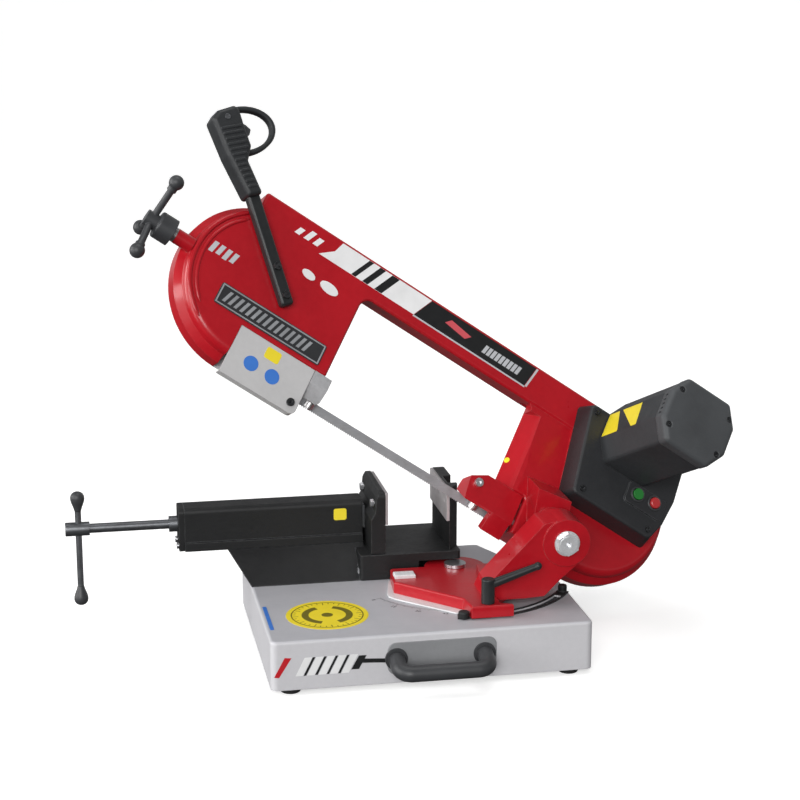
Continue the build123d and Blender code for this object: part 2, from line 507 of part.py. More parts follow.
ARMS = [40, 160, 280]
knobs = []
for al in ARMS:
    d = (0, math.cos(math.radians(al)), math.sin(math.radians(al)))
    hubt += rod((-331, V_C, 17), d, 4.8, 54)
    c = (-331, V_C + 60 * d[1], 17 + 60 * d[2])
    kb = sphere(c, 10) + rod((-331, V_C + 47 * d[1], 17 + 47 * d[2]), d, 6.5, 8)
    kb -= rod((-331, V_C, 17), d, 4.8, 54)
    knobs.append(HL * kb)
hubt -= rod((-318, V_C, 17), (1, 0, 0), 4.5, 40)
put("tension_handle", HL * hubt)
put("tension_knobs", group(knobs))

dw = Pos(S_R, V_C, 0) * band_wheel(10.0)
put("drive_wheel", HL * dw)
put("drive_shaft", HL * (rod((S_R, V_C, -9), (0, 0, 1), 10.0, 49) - rod((S_R, V_C, -10), (0, 0, 1), 4.0, 21)))
put("wheel_bolt", HL * (rod((S_R, V_C, -11.5), (0, 0, 1), 15, 2.5) + hexhead((S_R, V_C, -16), (0, 0, 1), 16, 5) + rod((S_R, V_C, -10), (0, 0, 1), 4.0, 20)))
put("drive_bearings", group([HL * tube((S_R, V_C, w), (0, 0, 1), 21, 10.05, 8.2) for w in (11, 19.6)]))


# ------------------------------------------------------------------ gears
def inv(a):
    return math.tan(a) - a


def gear(z, m, w0, w1, bore, c, phase, add=0.7, ded=1.15, lash=0.3):
    rp = m * z / 2
    rb = rp * math.cos(PIN_PROF)
    ra, rf = rp + add * m, rp - ded * m
    psi = math.pi / (2 * z) - lash / (2 * rp)

    def half(r):
        if r <= rb:
            return psi + inv(PIN_PROF)
        return psi + inv(PIN_PROF) - inv(math.acos(rb / r))
    pts = []
    for i in range(z):
        a0 = phase + 2 * math.pi * i / z
        rr = [rf, max(rf + 0.05, (rf + rp) / 2), rp, (rp + ra) / 2, ra]
        for r in rr:
            h = min(half(r), math.pi / z * 0.93)
            pts.append((r * math.cos(a0 - h), r * math.sin(a0 - h)))
        for r in reversed(rr):
            h = min(half(r), math.pi / z * 0.93)
            pts.append((r * math.cos(a0 + h), r * math.sin(a0 + h)))
    g = prism(pts, w0, w1)
    if bore:
        g -= rod((0, 0, w0 - 1), (0, 0, 1), bore, w1 - w0 + 2)
    return Pos(c[0], c[1], 0) * g


LAY = (S_R, V_C + GEAR_M * (Z_PIN + Z_OUT) / 2)
MOT = (S_R, LAY[1] + GEAR_M * (Z_PIN + Z_LAY) / 2)
up, dn = math.pi / 2, -math.pi / 2
og = gear(Z_OUT, GEAR_M, 31, 39, 10.0, (S_R, V_C), up + math.pi / Z_OUT)
for i in range(6):
    a = math.radians(60 * i)
    og -= rod((S_R + 16.5 * math.cos(a), V_C + 16.5 * math.sin(a), 30), (0, 0, 1), 3.5, 10)
put("output_gear", HL * og)
lp = gear(Z_PIN, GEAR_M, 30.4, 40, 0, LAY, dn)
lp += rod((LAY[0], LAY[1], 23.6), (0, 0, 1), 5.0, 36)
put("layshaft", HL * lp)
lg = gear(Z_LAY, GEAR_M, 42, 49, 5.0, LAY, up + math.pi / Z_LAY)
for i in range(6):
    a = math.radians(60 * i)
    lg -= rod((LAY[0] + 24 * math.cos(a), LAY[1] + 24 * math.sin(a), 40), (0, 0, 1), 8, 12)
put("layshaft_gear", HL * lg)
put("layshaft_bushes", group([HL * tube((LAY[0], LAY[1], 23.6), (0, 0, 1), 8, 5.05, 4.4), HL * tube((LAY[0], LAY[1], 52), (0, 0, 1), 8, 5.05, 7.8)]))

# ------------------------------------------------------------------ gearbox cover and motor
gc = cover_shape(0, W_FRONT, COVER_W)
gc = soft(gc, [e for e in gc.edges() if abs((e @ 0).Z - (e @ 1).Z) > 20], 8, "cover corners")
gc = soft(gc, gc.faces().sort_by(Axis.Z)[-1].edges(), 3.5, "cover front")
gc -= cover_shape(-3.5, W_FRONT - 1, COVER_W - 3.2)
gc += tube((LAY[0], LAY[1], 52), (0, 0, 1), 11.5, 8, COVER_W - 3.2 - 52 + 0.5)
SWITCH = [(438, 118), (467, 120.2)]
pad = rect(421, 486, 100, 132)
panel = sk_ext(pad, COVER_W - 3.2, COVER_W + 3)
panel = soft(panel, panel.edges().filter_by(Axis.Z), 6)
gc += panel
gc -= rod((LAY[0], LAY[1], 52), (0, 0, 1), 8, COVER_W - 3.2 - 52)
gc -= rod((MOT[0], MOT[1], 50), (0, 0, 1), 13, 30)
for bs, bv in SWITCH:
    gc -= rod((bs, bv, 50), (0, 0, 1), 8.3, 30)
CSC = [(336, 193), (358, 82), (474, 82), (486, 190)]
for cs, cv in CSC:
    gc += rod((cs, cv, W_FRONT), (0, 0, 1), 6.0, COVER_W - W_FRONT - 2)
    gc -= rod((cs, cv, W_FRONT - 5), (0, 0, 1), 2.2, 60)
gc -= rod((470, 190, 45), (0, 1, 0), 7.0, 30)
put("gearbox_cover", HL * gc)
put("gearbox_screws", group([HL * (rod((cs, cv, W_FRONT), (0, 0, 1), 2.2, COVER_W - W_FRONT) + rod((cs, cv, COVER_W), (0, 0, 1), 4.4, 2.6) - hexhead((cs, cv, COVER_W + 1), (0, 0, 1), 3, 4)) for cs, cv in CSC]))
put("start_button", HL * (rod((SWITCH[0][0], SWITCH[0][1], 56.4), (0, 0, 1), 7.9, 13.2) + rod((SWITCH[0][0], SWITCH[0][1], 56.4), (0, 0, 1), 9.4, 2.6)))
stopb = rod((SWITCH[1][0], SWITCH[1][1], 56.4), (0, 0, 1), 7.9, 15.2)
stopb = soft(stopb, stopb.faces().sort_by(Axis.Z)[-1].edges(), 2.5)
put("stop_button", HL * (stopb + rod((SWITCH[1][0], SWITCH[1][1], 56.4), (0, 0, 1), 9.4, 2.6)))
put("switch_block", HL * blk(424, 482, 103, 132, 50.4, 53.2))
gl = rod((470, 206.5, 45), (0, 1, 0), 9.5, 7) + rod((470, 196, 45), (0, 1, 0), 7.0, 20) - rod((470, 190, 45), (0, 1, 0), 4.5, 40)
put("cable_gland", HL * gl)

MH, MV = 53.0, 49.0


def octo(d):
    return [(MOT[0] + sx * (MH - d) * 1.0 if k else MOT[0] + sx * (35 - d * 0.5), MOT[1] + sy * ((20 - d * 0.5) if k else (MV - d)))
            for sx, sy, k in ((1, -1, True), (1, 1, True), (1, 1, False), (-1, 1, False), (-1, 1, True), (-1, -1, True), (-1, -1, False), (1, -1, False))]


CAP_W = 203.0
mh = prism(octo(0), COVER_W, CAP_W)
mh = soft(mh, mh.edges().filter_by(Axis.Z), 7)
mi = prism(octo(3.0), COVER_W + 7, CAP_W + 1)
mh -= mi
mh -= rod((MOT[0], MOT[1], 50), (0, 0, 1), 13, 40)
MSC = [(MOT[0] + a * 40.5, MOT[1] + b * 27.5) for a in (-1, 1) for b in (-1, 1)]
for ms, mv in MSC:
    mh += rod((ms, mv, COVER_W + 5), (0, 0, 1), 4.6, CAP_W - COVER_W - 5)
    mh -= rod((ms, mv, COVER_W + 20), (0, 0, 1), 2.0, 200)
put("motor_housing", HL * mh)
mc = prism(octo(-0.8), CAP_W, MOTOR_END)
mc = soft(mc, mc.edges().filter_by(Axis.Z), 8)
mc = soft(mc, mc.faces().sort_by(Axis.Z)[-1].edges(), 7)
mc -= prism(octo(4.0), CAP_W - 1, MOTOR_END - 4)
mc += tube((MOT[0], MOT[1], CAP_W + 2), (0, 0, 1), 17, 13, MOTOR_END - 3.5 - CAP_W - 2)
for ms, mv in MSC:
    mc += rod((ms, mv, CAP_W), (0, 0, 1), 4.6, MOTOR_END - CAP_W - 4)
    mc -= rod((ms, mv, CAP_W - 5), (0, 0, 1), 2.2, 60)
    mc -= rod((ms, mv, MOTOR_END - 4.4), (0, 0, 1), 4.4, 10)
for i in range(-2, 3):
    mc -= blk(MOT[0] - 60, MOT[0] - 45, MOT[1] + 7 * i - 1.6, MOT[1] + 7 * i + 1.6, CAP_W + 3, CAP_W + 10)
    mc -= blk(MOT[0] + 45, MOT[0] + 60, MOT[1] + 7 * i - 1.6, MOT[1] + 7 * i + 1.6, CAP_W + 3, CAP_W + 10)
put("motor_end_cap", HL * mc)
put("motor_screws", group([HL * (rod((ms, mv, CAP_W - 30), (0, 0, 1), 2.0, 48) + rod((ms, mv, MOTOR_END - 4.4), (0, 0, 1), 4.2, 3) - hexhead((ms, mv, MOTOR_END - 3), (0, 0, 1), 3, 4)) for ms, mv in MSC]))
rot = gear(Z_PIN, GEAR_M, 41.4, 50, 0, MOT, dn)
rot += rod((MOT[0], MOT[1], 41.4), (0, 0, 1), 6.0, 172)
rot += rod((MOT[0], MOT[1], 95), (0, 0, 1), 30, 70)
put("motor_rotor", HL * rot)
fan = tube((MOT[0], MOT[1], 182), (0, 0, 1), 13, 6.0, 14)
fan += tube((MOT[0], MOT[1], 182), (0, 0, 1), 37, 6.0, 2)
for i in range(9):
    b = blk(11, 36, -1, 1, 183, 195)
    fan += Pos(MOT[0], MOT[1], 0) * (Rot(0, 0, 40 * i) * b)
put("motor_fan", HL * fan)
st = tube((MOT[0], MOT[1], 95), (0, 0, 1), 39.5, 30.5, 70)
put("motor_stator", HL * st)
put("stator_windings", group([HL * tube((MOT[0], MOT[1], w), (0, 0, 1), 38, 31.5, 10) for w in (85, 165)]))
put("motor_bearings", group([HL * tube((MOT[0], MOT[1], w), (0, 0, 1), 13, 6.05, 6.5) for w in (63.4, 206)]))

# ------------------------------------------------------------------ blade
VB = V_C - WHEEL_R - 0.05 - BAND_T / 2         # lower run between the wheels
ri, ro = WHEEL_R + 0.05, WHEEL_R + 0.05 + BAND_T
TW = [(-150, 0.0, VB), (-52, 60.0, 0.0), (252, 60.0, 0.0), (396, 0.0, VB)]


def stadium(r):
    return Pos(S_L, V_C) * Circle(r) + Pos(S_R, V_C) * Circle(r) + rect(S_L, S_R, V_C - r, V_C + r)


loop = stadium(ro) - stadium(ri) - rect(TW[0][0], TW[3][0], VB - 5, VB + 60)
loop = sk_ext(loop, -BAND_W / 2, BAND_W / 2)


def section(s, ang, vc):
    a = math.radians(ang)
    u = (math.sin(a), math.cos(a))
    t = (math.cos(a), -math.sin(a))
    h, k = BAND_W / 2, BAND_T / 2
    return make_face(Polyline(*[(s, vc + i * h * u[0] + j * k * t[0], i * h * u[1] + j * k * t[1]) for i, j in ((-1, -1), (-1, 1), (1, 1), (1, -1))], close=True))


def smooth(x):
    return x * x * (3 - 2 * x)


secs = []
for (s0, a0, v0), (s1, a1, v1) in zip(TW[:-1], TW[1:]):
    n = 9 if a0 != a1 else 1
    for i in range(n):
        f = smooth(i / n)
        secs.append(section(s0 + (s1 - s0) * i / n, a0 + (a1 - a0) * f, v0 + (v1 - v0) * f))
secs.append(section(*TW[3]))
run = loft(secs, ruled=True)
blade = loop + run
put("blade", HL * blade)

# ------------------------------------------------------------------ guides (cutting frame)
GR, GZ0, GZ1 = 7.0, -2.0, 6.0
GO = BAND_T / 2 + 0.06 + GR
BZ = BAND_W / 2 + 0.06 + GR


def guide(s_side, s_back, arm, tag):
    pins = []
    for y, nm in ((-GO, "front"), (GO, "rear")):
        put("guide_roller_%s_%s" % (tag, nm), LL * tube((s_side, y, GZ0), (0, 0, 1), GR, 2.55, GZ1 - GZ0))
        pins.append(LL * (rod((s_side, y, GZ0 - 0.4), (0, 0, 1), 2.5, 22) + rod((s_side, y, GZ0 - 2.4), (0, 0, 1), 4.2, 2.0)))
        arm -= rod((s_side, y, 0), (0, 0, 1), 2.5, 19.6)
    put("guide_roller_%s_back" % tag, LL * tube((s_back, -4, BZ), (0, 1, 0), GR, 2.55, 8))
    pins.append(LL * rod((s_back, -9, BZ), (0, 1, 0), 2.5, 18))
    arm -= blk(s_back - GR - 0.8, s_back + GR + 0.8, -4.6, 4.6, -30, BZ + GR + 0.8)
    arm -= rod((s_back, -9, BZ), (0, 1, 0), 2.5, 18)
    return LL * arm, pins


la = blk(-47.5, -21, -15, 13, GZ1 + 1.0, 70)
la = soft(la, [e for e in la.edges().filter_by(Axis.Y) if e.center().Z < 20 and e.center().X > -30], 6)
la, lpins = guide(-29.5, -39.5, la, "left")
la -= HL * blk(-100, 100, 36, 200, -100, 100)
la -= HL * blk(-100, 100, -100, 200, W_FRONT, 100)
put("left_guide_arm", la)
ra = blk(214, 296, -26, 12, GZ1 + 1.0, 90)
ra += blk(262, 294, -26, -12, -18, GZ1 + 2.0)
ra -= blk(250, 300, -11.9, 20, -40, 14)
ra, rpins = guide(241, 229, ra, "right")
ra -= HL * blk(100, POST_S + 200, 39.8, 200, -100, 100)
ra -= HL * blk(100, 400, -100, 200, W_FRONT - 0.5, 100)
ra -= HL * blk(299.7, 400, -100, 200, -100, 100)
ra -= HL * prism([(180, 6.5), (213, 26), (260, 53.5), (260, 120), (180, 120)], -100, 100)
ra -= HL * prism([(200, -10), (218, -10), (213, 26), (200, 26)], -100, 100)
put("right_guide_arm", ra)
put("guide_pins", group(lpins + rpins))
put("guide_bolts", group([HL * (rod((227, 22, W_FRONT - 0.5), (0, 0, 1), 6, 5) - hexhead((227, 22, W_FRONT + 2), (0, 0, 1), 5, 4))]))

# grey guard over the blade at the left wheel
gd = blk(-163.6, -48.2, -36, 35.6, 26, 28)
gd += blk(-163.6, -48.2, -36, -34, 16, 28)
gd = soft(gd, [e for e in gd.edges().filter_by(Axis.Z) if near(e, -48.2, -36, 1.5)], 8)
gd += blk(-163.6, -150, 24, 35.6, 23.5, 26)
gd -= rod((-60, -22, 20), (0, 0, 1), 2.5, 20)
put("blade_guard", HL * gd)
put("guard_screw", HL * (rod((-60, -22, 22), (0, 0, 1), 2.5, 6) + rod((-60, -22, 28), (0, 0, 1), 5.5, 3) - hexhead((-60, -22, 29.5), (0, 0, 1), 4, 4)))

# bare name strip
npl = blk(-212, -48, 43, 74, W_FRONT, W_FRONT + 1.2)
npl = soft(npl, npl.edges().filter_by(Axis.Z), 3)
put("name_strip", HL * npl)

# ------------------------------------------------------------------ handle

def arm_frame(shape):
    # local x = along a, local y = -p
    return HL * (Rot(0, 0, 135) * shape)


ARM_T, ARM_H = 15.0, 9.0
ar = blk(150, 330, 24 - ARM_H, 24 + ARM_H, W_FRONT, W_FRONT + ARM_T)
ar = soft(ar, ar.edges().filter_by(Axis.X), 4)
ar = soft(ar, [e for e in ar.edges().filter_by(Axis.Z) if e.center().X < 160], 5)
for a in (164, 204):
    ar -= rod((a, 24, 20), (0, 0, 1), 3.0, 40)
put("handle_arm", arm_frame(ar))
put("arm_bolts", group([arm_frame(rod((a, 24, W_FRONT - 4), (0, 0, 1), 3.0, 4 + ARM_T) + hexhead((a, 24, W_FRONT + ARM_T), (0, 0, 1), 10, 4.5)) for a in (164, 204)]))
GRIP = [(302, 35), (302, 13), (350, 19), (369, 8), (398, 9), (421, 9), (427.5, 14), (424.5, 40), (414.5, 51), (362, 46)]
gp = prism(GRIP, 19, 51)
gp = soft(gp, gp.edges().filter_by(Axis.Z), 5)
gp = soft(gp, gp.faces().sort_by(Axis.Z)[-1].edges() + gp.faces().sort_by(Axis.Z)[0].edges(), 6)
rg = Pos(393.5, 9) * (Ellipse(34, 48) - Ellipse(27, 41)) - rect(340, 460, 10, 80)
ring = sk_ext(rg, 29, 41)
ring = soft(ring, ring.edges().filter_by(GeomType.ELLIPSE), 2.6)
gp += ring
gp -= blk(300, 331, 24 - ARM_H, 24 + ARM_H, W_FRONT, W_FRONT + ARM_T)
gp -= blk(381, 408, 0, 24, 29.5, 40.5)
put("grip", arm_frame(gp))
tr = prism([(383, 14.5), (386, 2), (393, -2), (400, 3), (405.5, 9), (405.5, 19), (384, 19)], 30, 40)
tr = soft(tr, tr.edges().filter_by(Axis.Z), 1.6)
tr -= rod((402.5, 16, 25), (0, 0, 1), 1.55, 20)
put("trigger", arm_frame(tr))
put("trigger_pin", arm_frame(rod((402.5, 16, 22), (0, 0, 1), 1.5, 26)))
NODES["grip"] -= arm_frame(rod((402.5, 16, 22), (0, 0, 1), 1.5, 26))

# ------------------------------------------------------------------ write
MERGE = {
    "base_fasteners": ["foot_screws", "handle_screws", "vice_bolts", "swivel_nut", "swivel_pin", "swivel_washer", "housing_studs", "end_cap_screws", "fixed_jaw_bolts"],
    "mitre_track": ["mitre_track", "mitre_stops"],
    "vice_screw": ["vice_screw", "screw_collars"],
    "jaw_fittings": ["vice_nut", "moving_jaw_bolts"],
    "wear_plate": ["wear_plate", "mitre_pointer"],
    "pivot_shaft": ["pivot_shaft", "pivot_nut"],
    "head_screws": ["cover_screws", "gearbox_screws", "motor_screws", "guide_bolts", "guard_screw", "arm_bolts", "trigger_pin"],
    "head_bearings": ["drive_bearings", "layshaft_bushes", "motor_bearings"],
    "electric_fittings": ["switch_block", "cable_gland"],
    "motor_stator": ["motor_stator", "stator_windings"],
    "tension_slide": ["tension_slide", "idle_axle"],
    "idle_wheel": ["idle_wheel", "idle_bearings"],
    "tension_screw": ["tension_screw", "tension_washers"],
    "drive_shaft": ["drive_shaft", "wheel_bolt"],
    "layshaft": ["layshaft", "layshaft_gear"],
    "motor_rotor": ["motor_rotor", "motor_fan"],
}
for name, members in MERGE.items():
    items = [NODES.pop(m) for m in members]
    NODES[name] = group(items)

os.makedirs("parts", exist_ok=True)
SHIFT = Pos(OX, OY, OZ)
lo = [1e9] * 3
hi = [-1e9] * 3
for name, shape in NODES.items():
    s = SHIFT * shape
    bb = s.bounding_box()
    for i, (a, b) in enumerate(((bb.min.X, bb.max.X), (bb.min.Y, bb.max.Y), (bb.min.Z, bb.max.Z))):
        lo[i] = min(lo[i], a)
        hi[i] = max(hi[i], b)
    NODES[name] = s
    export_step(s, os.path.join("parts", name + ".step"))
print("nodes", len(NODES))
print("box", [round(v, 2) for v in lo], [round(v, 2) for v in hi], "centre", [round((a + b) / 2, 2) for a, b in zip(lo, hi)])
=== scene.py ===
import math

import bmesh
import bpy
from mathutils import Matrix, Vector


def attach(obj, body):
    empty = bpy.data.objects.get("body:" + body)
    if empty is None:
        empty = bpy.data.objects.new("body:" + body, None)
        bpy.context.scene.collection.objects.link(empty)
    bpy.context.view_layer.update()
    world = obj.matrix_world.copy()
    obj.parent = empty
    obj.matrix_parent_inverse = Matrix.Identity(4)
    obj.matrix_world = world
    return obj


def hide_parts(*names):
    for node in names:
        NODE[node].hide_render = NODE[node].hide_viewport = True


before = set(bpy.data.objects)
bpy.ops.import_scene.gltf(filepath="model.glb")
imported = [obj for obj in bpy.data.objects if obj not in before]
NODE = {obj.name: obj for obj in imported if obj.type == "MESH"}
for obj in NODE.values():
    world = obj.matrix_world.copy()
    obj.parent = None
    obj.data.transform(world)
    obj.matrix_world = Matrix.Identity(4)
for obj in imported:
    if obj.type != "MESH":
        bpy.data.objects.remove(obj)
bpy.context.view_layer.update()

# ------------------------------------------------------------------ frames (mm in, metres out)
OX, OY, OZ = -198.295, -149.25, 7.0
PHI, TAU = math.radians(34.1), math.radians(30.0)
EX = Vector((math.cos(PHI), 0, -math.sin(PHI)))
EZ = Vector((math.sin(PHI), 0, math.cos(PHI)))
EY = Vector((0, 1, 0))
NW = math.sin(TAU) * EZ - math.cos(TAU) * EY      # out of the bow's front face
NV = NW.cross(EX)                                 # up in the bow plane
ORG = Vector((102.5, 200.0, 304.5))
S_L, S_R, V_C = -162.0, 407.0, 99.0
SW = (280.0, 200.0)


def B(x, y, z):
    """a point of the base's frame, mm, in the row frame, m"""
    return Vector((x + OX, y + OY, z + OZ)) / 1000


def H(s, v, w):
    """a point of the bow plane: s along, v up, w to the front"""
    p = ORG + s * EX + v * NV + w * NW
    return B(p.x, p.y, p.z)


def G(a, y, w):
    """a point along the handle arm, 45 degrees in the bow plane"""
    c = math.sqrt(0.5)
    return H(-a * c - y * c, a * c - y * c, w)


# ------------------------------------------------------------------ node helpers
class Tree:
    def __init__(self, name):
        self.m = bpy.data.materials.new(name)
        self.m.use_nodes = True
        self.t = self.m.node_tree
        self.t.nodes.clear()
        self.out = self.add("ShaderNodeOutputMaterial")
        self.b = self.add("ShaderNodeBsdfPrincipled")
        self.link(self.b.outputs[0], self.out.inputs[0])
        self.tc = self.add("ShaderNodeTexCoord")

    def add(self, kind, **kw):
        n = self.t.nodes.new(kind)
        for k, v in kw.items():
            setattr(n, k, v)
        return n

    def link(self, a, b):
        self.t.links.new(a, b)

    def set(self, name, v):
        self.b.inputs[name].default_value = v

    def mapped(self, scale=(1, 1, 1), rot=(0, 0, 0), loc=(0, 0, 0)):
        mp = self.add("ShaderNodeMapping")
        self.link(self.tc.outputs["Object"], mp.inputs[0])
        mp.inputs["Scale"].default_value = scale
        mp.inputs["Rotation"].default_value = rot
        mp.inputs["Location"].default_value = loc
        return mp.outputs[0]

    def noise(self, scale, detail=2.0, rough=0.5, vec=None, dist=0.0):
        n = self.add("ShaderNodeTexNoise")
        n.inputs["Scale"].default_value = scale
        n.inputs["Detail"].default_value = detail
        n.inputs["Roughness"].default_value = rough
        n.inputs["Distortion"].default_value = dist
        self.link(vec if vec is not None else self.tc.outputs["Object"], n.inputs["Vector"])
        return n.outputs["Fac"]

    def voronoi(self, scale, feature="F1", vec=None):
        n = self.add("ShaderNodeTexVoronoi", feature=feature)
        n.inputs["Scale"].default_value = scale
        self.link(vec if vec is not None else self.tc.outputs["Object"], n.inputs["Vector"])
        return n.outputs["Distance"]

    def wave(self, scale, vec, dist=0.0, detail=0.0, kind="BANDS", direction="X"):
        n = self.add("ShaderNodeTexWave", wave_type=kind)
        if kind == "BANDS":
            n.bands_direction = direction
        else:
            n.rings_direction = direction
        n.inputs["Scale"].default_value = scale
        n.inputs["Distortion"].default_value = dist
        n.inputs["Detail"].default_value = detail
        self.link(vec, n.inputs["Vector"])
        return n.outputs["Fac"]

    def ramp(self, fac, stops, mode="LINEAR"):
        r = self.add("ShaderNodeValToRGB")
        r.color_ramp.interpolation = mode
        els = r.color_ramp.elements
        while len(els) < len(stops):
            els.new(0.5)
        for e, (p, c) in zip(els, stops):
            e.position = p
            e.color = (c, c, c, 1) if isinstance(c, (int, float)) else (*c, 1)
        self.link(fac, r.inputs[0])
        return r.outputs[0]

    def rng(self, fac, a, b, c, d):
        r = self.add("ShaderNodeMapRange")
        for i, v in enumerate((a, b, c, d)):
            r.inputs[i + 1].default_value = v
        self.link(fac, r.inputs[0])
        return r.outputs[0]

    def math(self, op, a, b=None, clamp=False):
        n = self.add("ShaderNodeMath", operation=op, use_clamp=clamp)
        for i, v in enumerate((a, b)):
            if v is None:
                continue
            if isinstance(v, (int, float)):
                n.inputs[i].default_value = v
            else:
                self.link(v, n.inputs[i])
        return n.outputs[0]

    def mix(self, fac, a, b, mode="MIX"):
        n = self.add("ShaderNodeMix", data_type="RGBA", blend_type=mode)
        for sock, v in ((n.inputs[0], fac), (n.inputs[6], a), (n.inputs[7], b)):
            if isinstance(v, (int, float)):
                sock.default_value = v
            elif isinstance(v, tuple):
                sock.default_value = (*v, 1) if len(v) == 3 else v
            else:
                self.link(v, sock)
        return n.outputs[2]

    def edges(self, radius=0.0012, samples=4):
        """(normal rounded over edges, mask of the edges)"""
        be = self.add("ShaderNodeBevel", samples=samples)
        be.inputs[0].default_value = radius
        ge = self.add("ShaderNodeNewGeometry")
        d = self.add("ShaderNodeVectorMath", operation="DOT_PRODUCT")
        self.link(be.outputs[0], d.inputs[0])
        self.link(ge.outputs["Normal"], d.inputs[1])
        mask = self.rng(d.outputs["Value"], 0.995, 0.86, 0.0, 1.0)
        return be.outputs[0], mask

    def bump(self, height, strength, distance, normal=None):
        n = self.add("ShaderNodeBump")
        n.inputs["Strength"].default_value = strength
        n.inputs["Distance"].default_value = distance
        self.link(height, n.inputs["Height"])
        if normal is not None:
            self.link(normal, n.inputs["Normal"])
        return n.outputs[0]

    def up(self):
        """how far a surface faces up, for settled dust and painted top shading"""
        ge = self.add("ShaderNodeNewGeometry")
        sp = self.add("ShaderNodeSeparateXYZ")
        self.link(ge.outputs["Normal"], sp.inputs[0])
        return self.rng(sp.outputs[2], 0.35, 1.0, 0.0, 1.0)

    def color(self, c):
        self.link(c, self.b.inputs["Base Color"])

    def rough(self, r):
        self.link(r, self.b.inputs["Roughness"])

    def normal(self, n):
        self.link(n, self.b.inputs["Normal"])


def lin(r, g, b):
    """sRGB 0..255 to linear"""
    return tuple(((c / 255) / 12.92) if c <= 10 else (((c / 255) + 0.055) / 1.055) ** 2.4 for c in (r, g, b))


def scaled(c, k):
    return tuple(min(1.0, x * k) for x in c)


# ------------------------------------------------------------------ materials
def painted(name, col, rough=(0.26, 0.4), spread=0.12, peel=(1100, 0.10), cast=None, wear=None, edge_wear_and_highlight_amt=0.5, coat=0.0,
            settled_dirt_and_top_shading=0.0, settled_dirt_and_top_shading_col=(0.5, 0.48, 0.46), settled_dirt_and_top_shading_even=0.3, spec=0.5, edge_r=0.0012, speck=0.0):
    t = Tree(name)
    big = t.noise(9, 3.0, 0.55)
    small = t.noise(140, 2.0, 0.6)
    tone = t.math("ADD", t.math("MULTIPLY", big, 0.65), t.math("MULTIPLY", small, 0.35))
    c = t.ramp(tone, [(0.3, scaled(col, 1 - spread)), (0.5, col), (0.72, scaled(col, 1 + spread))])
    nrm, edge = t.edges(edge_r)
    # up-facing faces take the dust colour: settled dust on the red, lighter top faces on the iron, and a painted shade
    # that darkens the grey base's top
    if settled_dirt_and_top_shading:
        d = t.math("MULTIPLY", t.up(), t.rng(t.noise(24, 4.0, 0.65), 0.3, 0.78, settled_dirt_and_top_shading * settled_dirt_and_top_shading_even, settled_dirt_and_top_shading))
        c = t.mix(d, c, settled_dirt_and_top_shading_col)
    if speck:
        sp = t.rng(t.voronoi(520), 0.0, 0.14, speck, 0.0)
        c = t.mix(sp, c, scaled(col, 0.35))
    # lighter colour along all edges: partly paint worn through, partly a painted edge highlight
    if wear is not None:
        brk = t.rng(t.noise(95, 4.0, 0.65), 0.3, 0.68, 0.0, 1.0)
        edge_wear_and_highlight_mask = t.math("MULTIPLY", t.math("MULTIPLY", edge, brk), edge_wear_and_highlight_amt)
        c = t.mix(edge_wear_and_highlight_mask, c, wear)
    t.color(c)
    r = t.rng(t.math("ADD", t.math("MULTIPLY", t.noise(38, 4.0, 0.6), 0.6), t.math("MULTIPLY", small, 0.4)), 0.3, 0.7, rough[0], rough[1])
    t.rough(r)
    n = t.bump(t.noise(peel[0], 1.5, 0.45), peel[1], 0.0006, nrm)
    if cast:
        n = t.bump(t.noise(cast[0], 3.0, 0.6), cast[1], 0.0009, n)
    t.normal(n)
    t.set("Specular IOR Level", spec)
    if coat:
        t.set("Coat Weight", coat)
        t.set("Coat Roughness", 0.1)
    return t.m


def plastic(name, col, rough=(0.42, 0.58), grain=(900, 0.22), spread=0.15, edge_rub_and_highlight_col=None, spec=0.5, edge_r=0.0012, scuff=0.25, rub=(0.05, 0.55)):
    t = Tree(name)
    big = t.noise(16, 4.0, 0.6)
    c = t.ramp(big, [(0.3, scaled(col, 1 - spread)), (0.52, col), (0.74, scaled(col, 1 + spread))])
    nrm, edge = t.edges(edge_r)
    # lighter colour along edges: partly rubbed plastic, partly a painted edge highlight
    ec = edge_rub_and_highlight_col or scaled(col, 2.2)
    c = t.mix(t.math("MULTIPLY", edge, t.rng(t.noise(160, 4.0, 0.65), 0.35, 0.7, rub[0], rub[1])), c, ec)
    if scuff:
        v = t.mapped((9, 9, 60), (0.5, 0.9, 0.2))
        s = t.rng(t.noise(14, 6.0, 0.7, v), 0.62, 0.78, 0.0, scuff)
        c = t.mix(s, c, scaled(col, 1.9))
    t.color(c)
    t.rough(t.rng(t.noise(60, 4.0, 0.6), 0.3, 0.7, rough[0], rough[1]))
    n = t.bump(t.voronoi(grain[0]), grain[1], 0.0004, nrm)
    n = t.bump(t.noise(grain[0] * 0.4, 2.0, 0.5), grain[1] * 0.5, 0.0004, n)
    t.normal(n)
    t.set("Specular IOR Level", spec)
    return t.m


def metal(name, col, rough=(0.22, 0.4), grain=(18, 900, 900), rot=(0, 0, 0), strength=0.12, stain=None, stain_amt=0.3, metallic=1.0, edge_r=0.0006, spread=0.12):
    t = Tree(name)
    v = t.mapped(grain, rot)
    streak = t.noise(1.0, 3.0, 0.6, v)
    blot = t.noise(45, 4.0, 0.6)
    tone = t.math("ADD", t.math("MULTIPLY", streak, 0.55), t.math("MULTIPLY", blot, 0.45))
    c = t.ramp(tone, [(0.3, scaled(col, 1 - spread)), (0.5, col), (0.7, scaled(col, 1 + spread))])
    if stain is not None:
        c = t.mix(t.rng(t.noise(70, 5.0, 0.7), 0.52, 0.75, 0.0, stain_amt), c, stain)
    nrm, edge = t.edges(edge_r)
    c = t.mix(t.math("MULTIPLY", edge, 0.5), c, scaled(col, 1.35))
    t.color(c)
    t.rough(t.rng(tone, 0.32, 0.68, rough[0], rough[1]))
    t.normal(t.bump(streak, strength, 0.0003, nrm))
    t.set("Metallic", metallic)
    return t.m


